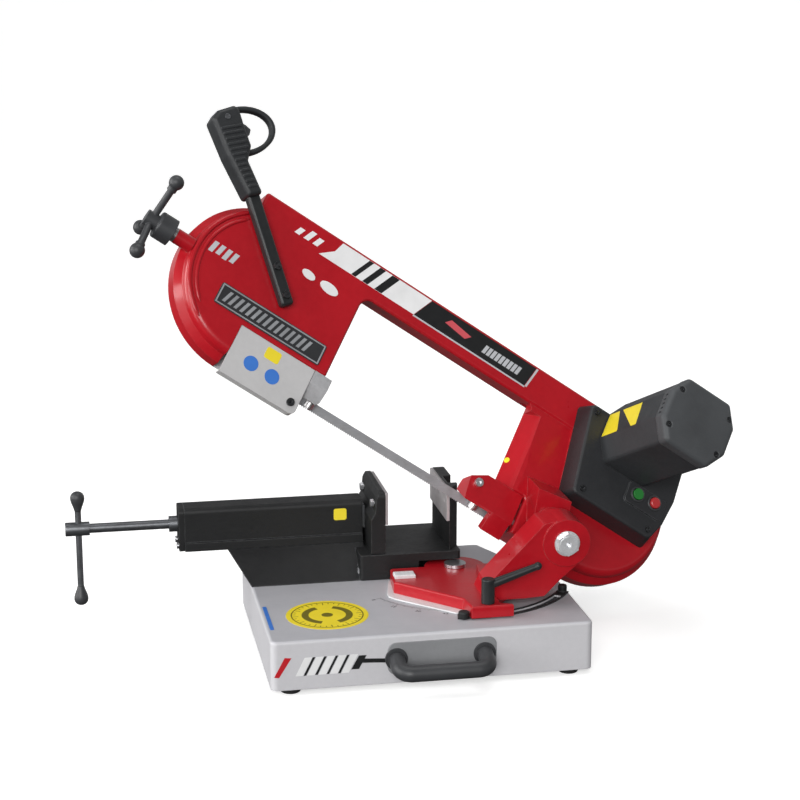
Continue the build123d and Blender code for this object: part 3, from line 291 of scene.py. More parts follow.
def film(name, col, rough=(0.3, 0.46), spread=0.05, scratch=0.18, scratch_col=(0.55, 0.55, 0.55)):
    """printed vinyl: even colour, faint scuffs, soft sheen"""
    t = Tree(name)
    c = t.ramp(t.noise(30, 3.0, 0.55), [(0.3, scaled(col, 1 - spread)), (0.7, scaled(col, 1 + spread))])
    v = t.mapped((40, 6, 40), (0.3, 0.2, 0.7))
    s = t.rng(t.noise(11, 7.0, 0.72, v), 0.62, 0.8, 0.0, scratch)
    c = t.mix(s, c, scratch_col)
    t.color(c)
    t.rough(t.rng(t.noise(90, 4.0, 0.6), 0.3, 0.7, rough[0], rough[1]))
    t.normal(t.bump(t.noise(600, 2.0, 0.5), 0.06, 0.0003))
    return t.m


RED = lin(174, 16, 29)
M = {}
M["red"] = painted("red_enamel", RED, rough=(0.27, 0.40), spread=0.11, peel=(420, 0.05), cast=(170, 0.07), wear=lin(206, 118, 116), edge_wear_and_highlight_amt=0.5, spec=0.32, coat=0.34, settled_dirt_and_top_shading=0.06, settled_dirt_and_top_shading_col=lin(150, 90, 90))
M["red_sheet"] = painted("red_enamel_arm", RED, rough=(0.28, 0.42), spread=0.11, peel=(420, 0.05), cast=(200, 0.08), wear=lin(206, 118, 116), edge_wear_and_highlight_amt=0.6, spec=0.34, coat=0.28)
# painted shade: this grey turns much darker on up-facing faces, so the base's top reads darker than its front
M["grey"] = painted("grey_powder_coat", lin(205, 204, 207), rough=(0.42, 0.56), spread=0.05, peel=(520, 0.08), wear=lin(128, 128, 132), edge_wear_and_highlight_amt=0.35, settled_dirt_and_top_shading=0.75, settled_dirt_and_top_shading_col=lin(158, 159, 165), settled_dirt_and_top_shading_even=0.72, speck=0.10, spec=0.4)
M["guard"] = painted("grey_guard_paint", lin(192, 191, 191), rough=(0.40, 0.54), spread=0.06, peel=(480, 0.07), wear=lin(118, 118, 120), edge_wear_and_highlight_amt=0.5, speck=0.08, spec=0.4)
M["iron"] = painted("black_iron_paint", lin(18, 19, 20), rough=(0.44, 0.60), spread=0.2, peel=(420, 0.10), cast=(190, 0.22), wear=lin(96, 97, 99), edge_wear_and_highlight_amt=0.62, settled_dirt_and_top_shading=0.35, settled_dirt_and_top_shading_col=lin(62, 62, 63), spec=0.4, edge_r=0.0022)
M["alloy_black"] = plastic("black_gearbox_skin", lin(44, 45, 47), rough=(0.40, 0.54), grain=(420, 0.24), edge_rub_and_highlight_col=lin(108, 110, 112), spec=0.38, edge_r=0.0022, rub=(0.15, 0.75))
M["motor"] = plastic("black_motor_skin", lin(54, 56, 58), rough=(0.44, 0.58), grain=(520, 0.16), edge_rub_and_highlight_col=lin(110, 113, 115), spec=0.26, edge_r=0.0024, rub=(0.15, 0.8))
# painted light: the motor's end cap is a lighter copy of the motor plastic, so the end face reads brighter
M["motor_cap"] = plastic("motor_cap_skin_painted_lighter", lin(73, 75, 77), rough=(0.42, 0.56), grain=(520, 0.16), edge_rub_and_highlight_col=lin(118, 121, 123), spec=0.28, edge_r=0.0024, rub=(0.15, 0.8))
M["plastic"] = plastic("black_handle_plastic", lin(58, 59, 61), rough=(0.36, 0.5), grain=(600, 0.14), edge_rub_and_highlight_col=lin(92, 93, 95), spec=0.42)
M["grip"] = plastic("black_grip_plastic", lin(38, 40, 42), rough=(0.42, 0.58), grain=(480, 0.26), edge_rub_and_highlight_col=lin(98, 100, 102), spec=0.4, edge_r=0.002, rub=(0.1, 0.7))
M["rubber"] = plastic("black_rubber", lin(40, 40, 40), rough=(0.7, 0.85), grain=(400, 0.3), edge_rub_and_highlight_col=lin(80, 80, 80), scuff=0.5, spec=0.25)
M["steel"] = metal("ground_steel", lin(196, 194, 194), rough=(0.26, 0.44), stain=lin(138, 128, 120), stain_amt=0.25)
M["jaw"] = metal("jaw_plate_steel", lin(190, 186, 187), rough=(0.36, 0.54), grain=(900, 24, 900), strength=0.16, stain=lin(140, 134, 130), stain_amt=0.35, metallic=0.45)
M["wear"] = metal("bright_wear_plate", lin(226, 227, 228), rough=(0.42, 0.58), grain=(500, 40, 500), strength=0.10, stain=lin(176, 174, 172), stain_amt=0.25, metallic=0.25)
M["pivot"] = metal("bright_pivot_steel", lin(232, 233, 235), rough=(0.24, 0.4), grain=(420, 420, 420), strength=0.1, stain=lin(168, 166, 164), stain_amt=0.3, metallic=0.55)
M["zinc"] = metal("zinc_screws", lin(196, 197, 200), rough=(0.26, 0.42), grain=(300, 300, 300), strength=0.1, stain=lin(150, 146, 132), stain_amt=0.3)
M["dark"] = metal("blackened_steel", lin(112, 114, 117), rough=(0.3, 0.48), grain=(500, 40, 500), strength=0.12, stain=lin(58, 54, 52), stain_amt=0.4, metallic=0.85)
M["dark_paint"] = painted("black_arm_paint", lin(36, 38, 39), rough=(0.32, 0.46), spread=0.16, peel=(420, 0.08), wear=lin(104, 106, 108), edge_wear_and_highlight_amt=0.6, spec=0.4)
M["alloy"] = metal("cast_alloy", lin(172, 172, 174), rough=(0.36, 0.54), grain=(260, 260, 260), strength=0.25, stain=lin(122, 120, 118), stain_amt=0.35, metallic=0.9)
M["guide"] = metal("guide_alloy", lin(186, 186, 188), rough=(0.36, 0.52), grain=(260, 260, 260), strength=0.25, stain=lin(134, 132, 130), stain_amt=0.35, metallic=0.35)
M["blade"] = metal("band_steel", lin(162, 163, 166), rough=(0.3, 0.46), grain=(60, 500, 500), rot=(0, PHI, 0), strength=0.14, stain=lin(128, 120, 112), stain_amt=0.3, metallic=0.3)
M["bronze"] = metal("bush_bronze", lin(176, 132, 78), rough=(0.3, 0.45))
M["green"] = plastic("green_button", lin(38, 122, 50), rough=(0.25, 0.36), grain=(500, 0.05), edge_rub_and_highlight_col=lin(100, 184, 108), spread=0.08, scuff=0.15)
M["redbtn"] = plastic("red_button", lin(186, 52, 54), rough=(0.25, 0.36), grain=(500, 0.05), edge_rub_and_highlight_col=lin(232, 130, 128), spread=0.08, scuff=0.15)
M["white_film"] = film("white_film", lin(236, 236, 236), scratch_col=(0.5, 0.5, 0.5))
M["black_film"] = film("black_film", lin(26, 27, 28), scratch_col=(0.10, 0.10, 0.10))
M["silver_film"] = film("silver_film", lin(190, 192, 196), scratch_col=(0.3, 0.3, 0.3))
M["hatch_film"] = film("grey_hatch_film", lin(146, 148, 151), scratch_col=(0.2, 0.2, 0.2), spread=0.14, scratch=0.4)
M["red_film"] = film("red_film", lin(196, 30, 40), scratch_col=(0.45, 0.1, 0.1))
M["pink_film"] = film("pale_red_film", lin(206, 84, 92), scratch_col=(0.6, 0.4, 0.4))
M["yellow_film"] = film("yellow_film", lin(240, 218, 48), scratch_col=(0.5, 0.45, 0.2), scratch=0.25)
M["blue_film"] = film("blue_film", lin(62, 120, 204), scratch_col=(0.4, 0.5, 0.65))
M["olive_film"] = film("olive_film", lin(112, 104, 30), scratch_col=(0.3, 0.28, 0.1))
# painted shade: mid-grey plate put behind the carry handle where the base front lies in shade
M["scuff"] = painted("grey_shade_plate", lin(138, 139, 141), rough=(0.36, 0.5), spread=0.08, peel=(420, 0.06), wear=lin(172, 172, 174), edge_wear_and_highlight_amt=0.5, spec=0.45)

# fasteners of the head: dark heads, and one bright guide bolt
t = Tree("head_fasteners")
tone = t.noise(260, 4.0, 0.6)
dk = t.ramp(tone, [(0.3, lin(58, 59, 61)), (0.7, lin(96, 97, 99))])
br = t.ramp(tone, [(0.3, lin(196, 197, 199)), (0.7, lin(228, 229, 232))])
dv = t.add("ShaderNodeVectorMath", operation="DISTANCE")
t.link(t.tc.outputs["Object"], dv.inputs[0])
dv.inputs[1].default_value = H(227, 22, 30)
t.color(t.mix(t.math("LESS_THAN", dv.outputs["Value"], 0.02), dk, br))
nrm, edge = t.edges(0.0005)
t.rough(t.rng(tone, 0.3, 0.7, 0.24, 0.42))
t.normal(t.bump(tone, 0.1, 0.0003, nrm))
t.set("Metallic", 0.9)
M["head_screws"] = t.m

USE = {
    "red": ["bow_frame", "turntable"], "red_sheet": ["right_guide_arm"], "grey": ["base_shell", "rear_cover"], "guard": ["blade_guard"],
    "iron": ["vice_body", "vice_housing", "housing_end_cap", "fixed_jaw", "moving_jaw", "mitre_track"],
    "alloy_black": ["gearbox_cover", "name_strip"], "motor": ["motor_housing"], "motor_cap": ["motor_end_cap"],
    "plastic": ["carry_handle", "t_bar_knobs", "electric_fittings", "tension_knobs", "tension_handle", "trigger"], "grip": ["grip"], "rubber": ["rubber_feet"],
    "wear": ["wear_plate"],
    "pivot": ["pivot_shaft"],
    "steel": ["head_bearings", "guide_pins", "drive_shaft", "output_gear", "layshaft", "motor_rotor", "tension_slide", "tension_screw",
              "guide_roller_left_front", "guide_roller_left_rear", "guide_roller_left_back", "guide_roller_right_front", "guide_roller_right_rear", "guide_roller_right_back"],
    "jaw": ["fixed_jaw_plate", "moving_jaw_plate"], "zinc": ["base_fasteners", "jaw_fittings", "lock_bolt"],
    "dark": ["vice_screw", "vice_t_bar", "vice_ram", "return_spring", "motor_stator"], "dark_paint": ["handle_arm", "lock_lever"],
    "guide": ["left_guide_arm"], "alloy": ["drive_wheel", "idle_wheel"], "blade": ["blade"], "bronze": ["pivot_bushes"], "green": ["start_button"], "redbtn": ["stop_button"], "head_screws": ["head_screws"],
}
for key, names in USE.items():
    for nm in names:
        o = NODE[nm]
        if not o.data.materials:
            o.data.materials.append(M[key])
        for i in range(len(o.data.materials)):
            o.data.materials[i] = M[key]


# ------------------------------------------------------------------ piece helpers
def piece(name, bm, mat, body, smooth=False):
    bmesh.ops.recalc_face_normals(bm, faces=bm.faces)
    me = bpy.data.meshes.new(name)
    bm.to_mesh(me)
    bm.free()
    if smooth:
        for p in me.polygons:
            p.use_smooth = True
    ob = bpy.data.objects.new(name, me)
    bpy.context.scene.collection.objects.link(ob)
    for m in (mat if isinstance(mat, (list, tuple)) else [mat]):
        me.materials.append(m)
    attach(ob, body)
    return ob


def slab(bm, pts, at, h0, h1, bev=0.0, mi=0):
    """closed prism from a flat outline; at(x, y, h) places it, bev draws the top in"""
    n = len(pts)
    cx = sum(p[0] for p in pts) / n
    cy = sum(p[1] for p in pts) / n

    def ring(h, inset):
        out = []
        for i, (x, y) in enumerate(pts):
            if inset:
                d = math.hypot(x - cx, y - cy)
                k = max(0.0, 1 - inset / d) if d > 1e-6 else 1
                x, y = cx + (x - cx) * k, cy + (y - cy) * k
            out.append(bm.verts.new(at(x, y, h)))
        return out
    r0 = ring(h0, 0)
    r1 = ring(h1 - bev, 0) if bev else None
    r2 = ring(h1, bev)
    rows = [r for r in (r0, r1, r2) if r]
    for a, b in zip(rows[:-1], rows[1:]):
        for i in range(n):
            j = (i + 1) % n
            bm.faces.new((a[i], a[j], b[j], b[i])).material_index = mi
    bm.faces.new(list(reversed(r0))).material_index = mi
    bm.faces.new(r2).material_index = mi


def slabs(name, outlines, at, h0, h1, mat, body, bev=0.04):
    bm = bmesh.new()
    for o in outlines:
        slab(bm, o, at, h0, h1, bev)
    return piece(name, bm, mat, body)


def round_rect(x0, x1, y0, y1, r, k=5):
    pts = []
    for cx, cy, a0 in ((x1 - r, y0 + r, -90), (x1 - r, y1 - r, 0), (x0 + r, y1 - r, 90), (x0 + r, y0 + r, 180)):
        for i in range(k + 1):
            a = math.radians(a0 + 90 * i / k)
            pts.append((cx + r * math.cos(a), cy + r * math.sin(a)))
    return pts


def disc(cx, cy, r, n=48, ry=None, rot=0.0):
    ry = ry or r
    c, s = math.cos(rot), math.sin(rot)
    return [(cx + r * math.cos(a) * c - ry * math.sin(a) * s, cy + r * math.cos(a) * s + ry * math.sin(a) * c) for a in (2 * math.pi * i / n for i in range(n))]


def front(w):
    return lambda x, y, h: H(x, y, w + h)


def ring_band(bm, cx, cy, r0, r1, at, h0, h1, n=64, a0=0.0, a1=360.0, mi=0):
    """closed flat ring, or a part of one"""
    full = abs(a1 - a0) >= 359.9
    k = n if full else n + 1
    rows = []
    for i in range(k):
        a = math.radians(a0 + (a1 - a0) * i / n)
        c, s = math.cos(a), math.sin(a)
        rows.append([bm.verts.new(at(cx + r * c, cy + r * s, h)) for r, h in ((r0, h0), (r1, h0), (r1, h1), (r0, h1))])
    for i in range(n):
        p, q = rows[i], rows[(i + 1) % k]
        for j in range(4):
            bm.faces.new((p[j], p[(j + 1) % 4], q[(j + 1) % 4], q[j])).material_index = mi
    if not full:
        bm.faces.new(rows[0]).material_index = mi
        bm.faces.new(list(reversed(rows[-1]))).material_index = mi


# ------------------------------------------------------------------ toothed band
def band():
    """the blade's loop with raked, set teeth on the edge that faces the work"""
    ri, th, wd = 95.05, 0.9, 13.0
    rc = ri + th / 2
    vb = V_C - rc
    tw = [(-150, 0.0, vb), (-52, 60.0, 0.0), (252, 60.0, 0.0), (396, 0.0, vb)]

    def lower(s):
        if s <= tw[0][0] or s >= tw[3][0]:
            return 0.0, vb
        for (s0, a0, v0), (s1, a1, v1) in zip(tw[:-1], tw[1:]):
            if s <= s1:
                f = (s - s0) / (s1 - s0)
                # steps match the ruled sections
                if a0 != a1:
                    i = min(8, int(f * 9))
                    g0, g1 = i / 9, (i + 1) / 9
                    e0, e1 = g0 * g0 * (3 - 2 * g0), g1 * g1 * (3 - 2 * g1)
                    g = e0 + (e1 - e0) * (f - g0) / (g1 - g0)
                else:
                    g = 0.0
                return a0 + (a1 - a0) * g, v0 + (v1 - v0) * g
        return 0.0, vb

    run, arc = S_R - S_L, math.pi * rc
    total = 2 * run + 2 * arc
    teeth = 2 * int(total / 3.1 / 2)
    p = total / teeth

    def at(q):
        """(point, along, across, through) at q mm round the loop, in bow coordinates"""
        q %= total
        if q < run:
            s = S_L + q
            a, v = lower(s)
            a = math.radians(a)
            return Vector((s, v, 0)), Vector((0, math.sin(a), math.cos(a))), Vector((0, math.cos(a), -math.sin(a)))
        q -= run
        if q < arc:
            g = -math.pi / 2 + q / rc
            c = Vector((S_R, V_C, 0))
        elif q < arc + run:
            s = S_R - (q - arc)
            return Vector((s, V_C + rc, 0)), Vector((0, 0, 1)), Vector((0, -1, 0))
        else:
            g = math.pi / 2 + (q - arc - run) / rc
            c = Vector((S_L, V_C, 0))
        d = Vector((math.cos(g), math.sin(g), 0))
        return c + rc * d, Vector((0, 0, 1)), -d

    bm = bmesh.new()
    rows = []
    for i in range(teeth):
        st = (0.0, 0.18, -0.18)[i % 3] if i % 3 else 0.0
        for f, e, k in ((0.0, 1.25, 0.0), (0.22, 1.35, 0.0), (0.86, 0.18, 1.0), (0.97, 0.0, 1.0)):
            c, u, n = at((i + f) * p)
            lo = c - u * (wd / 2 - e) + n * st * k
            mid = c - u * (wd / 2 - 1.9)
            hi = c + u * (wd / 2)
            h = n * (th / 2)
            rows.append([bm.verts.new(H(*(x + y))) for x, y in ((lo, h), (mid, h), (hi, h), (hi, -h), (mid, -h), (lo, -h))])
    m = len(rows)
    for i in range(m):
        a, b = rows[i], rows[(i + 1) % m]
        for j in range(6):
            bm.faces.new((a[j], a[(j + 1) % 6], b[(j + 1) % 6], b[j]))
    ob = piece("band_toothed", bm, M["blade"], "bow")
    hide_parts("blade")


band()

# ------------------------------------------------------------------ markings on the bow: plain blocks and bars
W = 28.0
at28 = front(W)
TH = 0.22
slabs("beam_white", [
    [(-115, 184.5), (-72, 184.5), (-60, 184.5), (42, 184.5), (58, 217.6), (-90.5, 217.6), (-96, 200.5)],
], at28, -0.1, TH, M["white_film"], "bow")
slabs("beam_black", [
    [(42.6, 184.5), (232.5, 184.5), (239.5, 217.6), (58.6, 217.6)],
], at28, -0.1, TH, M["black_film"], "bow")
bars = []
for s0, wd_ in ((-62, 7), (-44, 9), (-24, 12)):
    bars.append([(s0, 184.8), (s0 + wd_, 184.8), (s0 + wd_ + 15.5, 217.4), (s0 + 15.5, 217.4)])
slabs("beam_slants", bars, at28, 0.0, TH + 0.12, M["black_film"], "bow")
slabs("beam_trim", [
    [(41.4, 182.2), (233.6, 182.2), (232.9, 184.5), (42.2, 184.5)], [(233.2, 184.5), (236.4, 184.5), (243.4, 217.6), (240.2, 217.6)],
], at28, -0.1, TH + 0.06, M["silver_film"], "bow")
slabs("beam_bar", [
    [(88, 200.5), (124, 195.5), (132, 203.5), (96, 209)],
], at28, 0.0, TH + 0.12, M["pink_film"], "bow")
bars = []
for i in range(9):
    s0 = 154 + 7.1 * i
    bars.append([(s0, 192.5), (s0 + 5.4, 192.5), (s0 + 8.6, 205.6), (s0 + 3.2, 205.6)])
slabs("beam_bars", bars, at28, 0.0, TH + 0.12, M["silver_film"], "bow")
bars = []
for i, ln in enumerate((11, 16, 13)):
    s0 = -158 + 14.5 * i
    bars.append([(s0, 192), (s0 + 8, 192), (s0 + 8 + ln * 0.45, 192 + ln), (s0 + ln * 0.45, 192 + ln)])
slabs("beam_dashes", bars, at28, -0.1, TH, M["white_film"], "bow")
bars = []
for i in range(4):
    s0 = -250 + 10.5 * i
    bars.append([(s0, 101.5 + 1.6 * (i % 2)), (s0 + 6.6, 101.5 + 1.6 * (i % 2)), (s0 + 10.4, 118.5), (s0 + 3.8, 118.5)])
slabs("disc_bars", bars, at28, -0.1, TH, M["silver_film"], "bow")

# cast beads that follow the rim of the left wheel housing
def bead(bm, cx, cy, r, half, tall, at, a0, a1, n=96):
    prof = [(-half, -0.2), (-half, 0.0), (-half * 0.72, tall * 0.62), (-half * 0.3, tall * 0.95), (half * 0.3, tall * 0.95), (half * 0.72, tall * 0.62), (half, 0.0), (half, -0.2)]
    rows = []
    for i in range(n + 1):
        f = i / n
        a = math.radians(a0 + (a1 - a0) * f)
        k = min(1.0, min(f, 1 - f) * 14)
        k = 0.15 + 0.85 * math.sin(k * math.pi / 2)
        rows.append([bm.verts.new(at(cx + (r + d * k) * math.cos(a), cy + (r + d * k) * math.sin(a), h * k if h > 0 else h)) for d, h in prof])
    m = len(prof)
    for p, q in zip(rows[:-1], rows[1:]):
        for j in range(m):
            bm.faces.new((p[j], p[(j + 1) % m], q[(j + 1) % m], q[j]))
    bm.faces.new(rows[0])
    bm.faces.new(list(reversed(rows[-1])))


bm = bmesh.new()
bead(bm, S_L, V_C, 102.0, 3.4, 1.9, at28, 124, 236)
bead(bm, S_L, V_C, 92.6, 2.6, 1.5, at28, 128, 226)
piece("housing_beads", bm, M["red"], "bow", True)

# two small oval plates, bare
bm = bmesh.new()
slab(bm, disc(-114, 149.5, 10.5, 40, 6.0, math.radians(-8)), at28, -0.1, 0.7, 0.25)
slab(bm, disc(-80.5, 148.5, 14.5, 40, 7.6, math.radians(-6)), at28, -0.1, 0.7, 0.25)
piece("oval_plates", bm, M["white_film"], "bow")

# name strip: raised rim and a hatch of slanted bars
bm = bmesh.new()
at_np = front(29.2)
for x0, x1, y0, y1 in ((-210.5, -49.5, 44.3, 46.0), (-210.5, -49.5, 71.0, 72.7), (-210.5, -208.6, 46.0, 71.0), (-51.4, -49.5, 46.0, 71.0)):
    slab(bm, [(x0, y0), (x1, y0), (x1, y1), (x0, y1)], at_np, -0.1, 0.5, 0.15)
for i in range(15):
    x0 = -203 + 8.9 * i
    slab(bm, [(x0, 50), (x0 + 4.6, 50), (x0 + 10.6, 67), (x0 + 6.0, 67)], at_np, -0.1, 0.45, 0.12)
piece("name_strip_hatch", bm, M["hatch_film"], "bow")

# guard: plain dots and a plain patch
at_g = front(28.0)
slabs("guard_dots", [disc(-130, -4.0, 10.4, 44), disc(-97, -4.6, 10.4, 44)], at_g, -0.1, TH, M["blue_film"], "bow")
slabs("guard_patch", [round_rect(-119.5, -97.5, 13.5, 30.0, 3.0)], at_g, -0.1, TH, M["yellow_film"], "bow")
slabs("post_dot", [disc(0, 0, 4.2, 28)], lambda x, y, h: H(260.9 + 0.584 * y - 0.811 * h, 83 + x, 7.0 + 0.811 * y + 0.584 * h), -0.3, 0.35, M["yellow_film"], "bow")

# motor: two plain yellow patches with a dark gap between them
slabs("motor_patches", [
    [(66, 163.2), (104, 163.2), (105, 166), (91, 199.6), (66, 199.6)], [(99.5, 199.6), (140.5, 163.2), (152.5, 163.2), (148, 199.6)],
], lambda x, y, h: H(354.0 - h, y, x), -0.1, TH, M["yellow_film"], "bow")

# ------------------------------------------------------------------ markings on the base and the vice
top = lambda x, y, h: B(x, y, 65.0 + h)
face = lambda x, y, h: B(x, -h, y)
slabs("base_dial", [disc(85, 88, 54, 96)], top, -0.1, TH, M["yellow_film"], "base")
bm = bmesh.new()
ring_band(bm, 85, 88, 46.0, 47.6, top, 0.0, TH + 0.1, 96)
ring_band(bm, 85, 88, 24.5, 33.5, top, 0.0, TH + 0.1, 40, 112, 248)
ring_band(bm, 85, 88, 24.5, 33.5, top, 0.0, TH + 0.1, 40, -68, 68)
for i in range(36):
    a = math.radians(10 * i)
    c, s = math.cos(a), math.sin(a)
    r0 = 38.0 if i % 3 == 0 else 41.5
    slab(bm, [(85 + r * c - k * s, 88 + r * s + k * c) for r, k in ((r0, -0.55), (45.0, -0.55), (45.0, 0.55), (r0, 0.55))], top, 0.0, TH + 0.1)
slab(bm, disc(85, 88, 7.5, 32), top, 0.0, TH + 0.1)
piece("base_dial_marks", bm, M["olive_film"], "base")
slabs("base_stripe_red", [[(3.8, 18.5), (10, 17.5), (26, 43), (17.5, 44)]], face, -0.1, TH, M["red_film"], "base")
bars = []
for i in range(5):
    x0 = 31 + 14.6 * i
    bars.append([(x0, 18.5), (x0 + 9.5, 18.5), (x0 + 21.5, 42.5), (x0 + 12, 42.5)])
slabs("base_stripes_white", bars, face, -0.1, TH, M["white_film"], "base")
bars = []
for i in range(4):
    x0 = 41.2 + 14.6 * i
    bars.append([(x0, 18.5), (x0 + 3.2, 18.5), (x0 + 15.2, 42.5), (x0 + 12, 42.5)])
bars.append([(102, 22.5), (112, 22.5), (122, 40.5), (112, 40.5)])
bars.append([(116, 30.5), (150, 28.5), (151, 34), (119, 36)])
slabs("base_stripes_black", bars, face, -0.1, TH, M["black_film"], "base")
slabs("base_edge_strip", [round_rect(5.2, 10.4, 46, 134, 1.5)], top, -0.1, TH, M["blue_film"], "base")
slabs("vice_patch", [round_rect(121.5, 139.5, 138.5, 155, 3)], lambda x, y, h: B(x, 264.0 - h, y), -0.1, TH, M["yellow_film"], "base")

# painted shade: a mid-grey plate on the base front behind the carry handle, standing in for the shade there
bm = bmesh.new()
slab(bm, round_rect(149, 291, 11.5, 54.5, 11, 8), face, -0.1, 1.4, 0.9)
piece("handle_shade_plate", bm, M["scuff"], "base")

# mitre scale on the base: ticks and numbers
bm = bmesh.new()
for d in range(0, 46):
    a = math.radians(207.8 + d)
    c, s = math.cos(a), math.sin(a)
    r1 = 137.5 if d % 15 == 0 else (135.0 if d % 5 == 0 else 132.6)
    slab(bm, [(SW[0] + r * c - k * s, SW[1] + r * s + k * c) for r, k in ((129.5, -0.25), (r1, -0.25), (r1, 0.25), (129.5, 0.25))], top, -0.1, 0.12)
piece("mitre_scale", bm, M["black_film"], "base")
for d in (0, 15, 30, 45):
    a = math.radians(207.8 + d)
    cu = bpy.data.curves.new("num", "FONT")
    cu.body = str(d)
    cu.size = 0.008
    cu.align_x = "CENTER"
    cu.align_y = "CENTER"
    cu.extrude = 0.00011
    tmp = bpy.data.objects.new("num", cu)
    bpy.context.scene.collection.objects.link(tmp)
    bpy.context.view_layer.update()
    me = bpy.data.meshes.new_from_object(tmp.evaluated_get(bpy.context.evaluated_depsgraph_get()))
    bpy.data.objects.remove(tmp)
    me.transform(Matrix.Translation(B(SW[0] + 142.0 * math.cos(a), SW[1] + 142.0 * math.sin(a), 65.02)) @ Matrix.Rotation(a + math.pi / 2, 4, "Z"))
    ob = bpy.data.objects.new("mitre_number_%d" % d, me)
    bpy.context.scene.collection.objects.link(ob)
    me.materials.clear()
    me.materials.append(M["black_film"])
    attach(ob, "base")

# ------------------------------------------------------------------ grip: moulded ribs and its clamp screw
def along(pts, a):
    for (a0, y0), (a1, y1) in zip(pts[:-1], pts[1:]):
        if a0 <= a <= a1:
            return y0 + (y1 - y0) * (a - a0) / (a1 - a0)
    return pts[-1][1]


GLO = [(302, 13), (350, 19), (369, 8), (398, 9), (421, 9), (427.5, 14)]
GHI = [(302, 35), (362, 46), (414.5, 51), (424.5, 40)]
at_grip = lambda x, y, h: G(x, y, 51.0 + h)
bm = bmesh.new()
for i in range(12):
    a0 = 313.0 + 7.6 * i
    lo = max(along(GLO, a0), along(GLO, a0 + 3.8)) + 4.6
    hi = min(along(GHI, a0), along(GHI, a0 + 3.8)) - 4.6
    slab(bm, round_rect(a0, a0 + 3.8, lo, hi, 1.7, 4), at_grip, -0.2, 0.9, 0.45)
piece("grip_ribs", bm, M["grip"], "bow")
bm = bmesh.new()
ring_band(bm, 413.0, 30.0, 2.2, 3.9, at_grip, -0.2, 0.7, 36)
slab(bm, disc(413.0, 30.0, 2.3, 6), at_grip, -0.2, 0.1)
piece("grip_screw", bm, M["dark"], "bow")

# ------------------------------------------------------------------ switch bezels
bm = bmesh.new()
for cs, cv in ((438, 118), (467, 120.2)):
    n = 48
    prof = [(8.5, -0.2), (8.5, 1.6), (9.0, 2.2), (10.4, 2.2), (11.2, 1.5), (11.6, -0.2)]
    rows = []
    for i in range(n):
        a = 2 * math.pi * i / n
        rows.append([bm.verts.new(H(cs + r * math.cos(a), cv + r * math.sin(a), 66.0 + h)) for r, h in prof])
    for i in range(n):
        p, q = rows[i], rows[(i + 1) % n]
        for j in range(len(prof)):
            k = (j + 1) % len(prof)
            bm.faces.new((p[j], p[k], q[k], q[j]))
piece("switch_bezels", bm, M["plastic"], "bow")

# ------------------------------------------------------------------ floor, light, camera
bm = bmesh.new()
bmesh.ops.create_grid(bm, x_segments=1, y_segments=1, size=60)
me = bpy.data.meshes.new("floor")
bm.to_mesh(me)
bm.free()
floor = bpy.data.objects.new("floor", me)
bpy.context.scene.collection.objects.link(floor)
t = Tree("pale_floor")
t.set("Base Color", (0.84, 0.84, 0.835, 1))
t.set("Roughness", 0.9)
t.set("Specular IOR Level", 0.1)
t.set("Emission Color", (1, 1, 0.995, 1))
t.set("Emission Strength", 0.53)
me.materials.append(t.m)
floor.visible_diffuse = False
floor.visible_glossy = False

sc = bpy.context.scene
wd = bpy.data.worlds.new("studio")
sc.world = wd
wd.use_nodes = True
nt = wd.node_tree
nt.nodes.clear()
wo = nt.nodes.new("ShaderNodeOutputWorld")
bg = nt.nodes.new("ShaderNodeBackground")
tcw = nt.nodes.new("ShaderNodeTexCoord")
sx = nt.nodes.new("ShaderNodeSeparateXYZ")
nt.links.new(tcw.outputs["Generated"], sx.inputs[0])
mr = nt.nodes.new("ShaderNodeMapRange")
mr.inputs[1].default_value, mr.inputs[2].default_value = -1.0, 1.0
nt.links.new(sx.outputs[2], mr.inputs[0])
rw = nt.nodes.new("ShaderNodeValToRGB")
els = rw.color_ramp.elements
SKY = [(0.0, 0.05), (0.47, 0.09), (0.505, 0.62), (0.56, 0.40), (0.66, 0.20), (0.85, 0.13), (1.0, 0.15)]
while len(els) < len(SKY):
    els.new(0.5)
for e, (pz, lv) in zip(els, SKY):
    e.position = pz
    e.color = (lv, lv, lv * 1.02, 1)
nt.links.new(mr.outputs[0], rw.inputs[0])
nt.links.new(rw.outputs[0], bg.inputs[0])
bg.inputs[1].default_value = 1.0
wall = nt.nodes.new("ShaderNodeBackground")
wall.inputs[0].default_value = (1, 1, 1, 1)
lp = nt.nodes.new("ShaderNodeLightPath")
both = nt.nodes.new("ShaderNodeMixShader")
nt.links.new(lp.outputs["Is Camera Ray"], both.inputs[0])
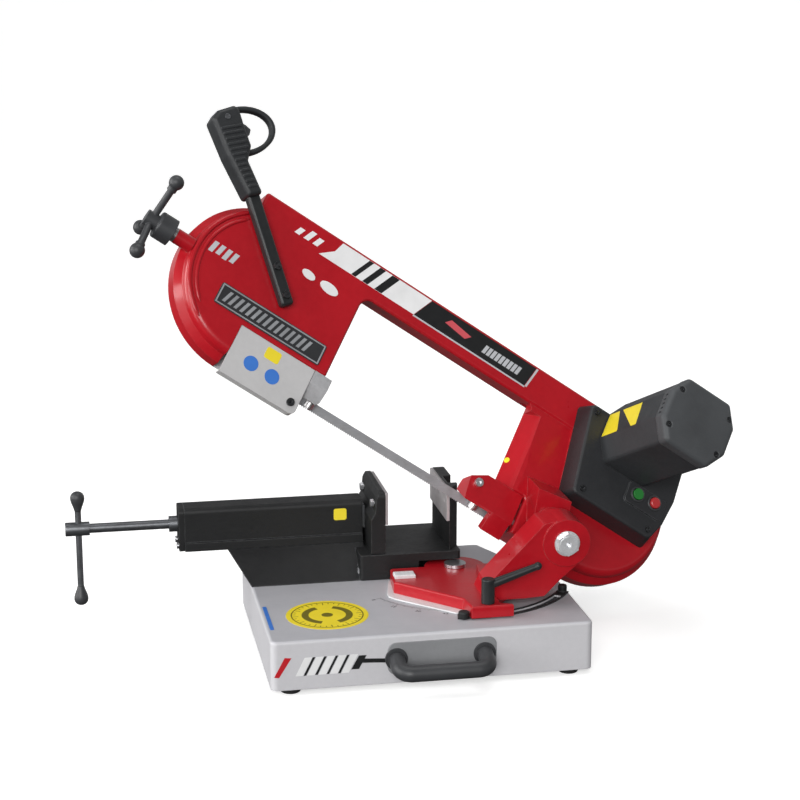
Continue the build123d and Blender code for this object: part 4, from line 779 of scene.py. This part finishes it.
nt.links.new(bg.outputs[0], both.inputs[1])
nt.links.new(wall.outputs[0], both.inputs[2])
nt.links.new(both.outputs[0], wo.inputs[0])


def sun(name, az, el, power, angle, col=(1, 1, 1)):
    """az from +x towards +y, degrees: where the light comes from"""
    li = bpy.data.lights.new(name, "SUN")
    li.energy = power
    li.angle = math.radians(angle)
    li.color = col
    ob = bpy.data.objects.new(name, li)
    a, e = math.radians(az), math.radians(el)
    d = Vector((math.cos(a) * math.cos(e), math.sin(a) * math.cos(e), math.sin(e)))
    ob.rotation_euler = (-d).to_track_quat("-Z", "Y").to_euler()
    sc.collection.objects.link(ob)


def soft_box(name, pos, aim, size, power, col=(1, 1, 1)):
    li = bpy.data.lights.new(name, "AREA")
    li.energy = power
    li.shape = "RECTANGLE"
    li.size, li.size_y = size
    li.color = col
    ob = bpy.data.objects.new(name, li)
    ob.location = pos
    ob.rotation_euler = (Vector(aim) - Vector(pos)).to_track_quat("-Z", "Y").to_euler()
    sc.collection.objects.link(ob)


sun("key", -108, 22, 2.05, 34)
sun("side", 172, 16, 1.25, 40)
sun("fill", 42, 20, 0.45, 60)
soft_box("strip_left", (-2.3, -1.1, 0.9), (-0.2, 0, 0.4), (0.26, 2.0), 20)
soft_box("strip_back", (-2.1, 0.5, 1.0), (-0.2, 0, 0.4), (0.14, 2.0), 11)
soft_box("overhead", (0.25, 0.15, 2.6), (0.15, 0, 0.3), (1.6, 1.2), 16)

cam = bpy.data.cameras.new("camera")
cam.sensor_width = 36.0
cam.lens = 36.0 * 1852.5 / 800
cam.clip_end = 500
co = bpy.data.objects.new("camera", cam)
R = Vector((0.98232, -0.18721, 0.0))
F = Vector((0.18206, 0.95530, -0.2329)).normalized()
R = (R - R.dot(F) * F).normalized()
U = R.cross(F)
mat = Matrix((R, U, -F)).transposed().to_4x4()
mat.translation = B(-249.63, -2175.45, 901.02)
co.matrix_world = mat
sc.collection.objects.link(co)
sc.camera = co
sc.view_settings.view_transform = "Standard"
sc.view_settings.look = "None"
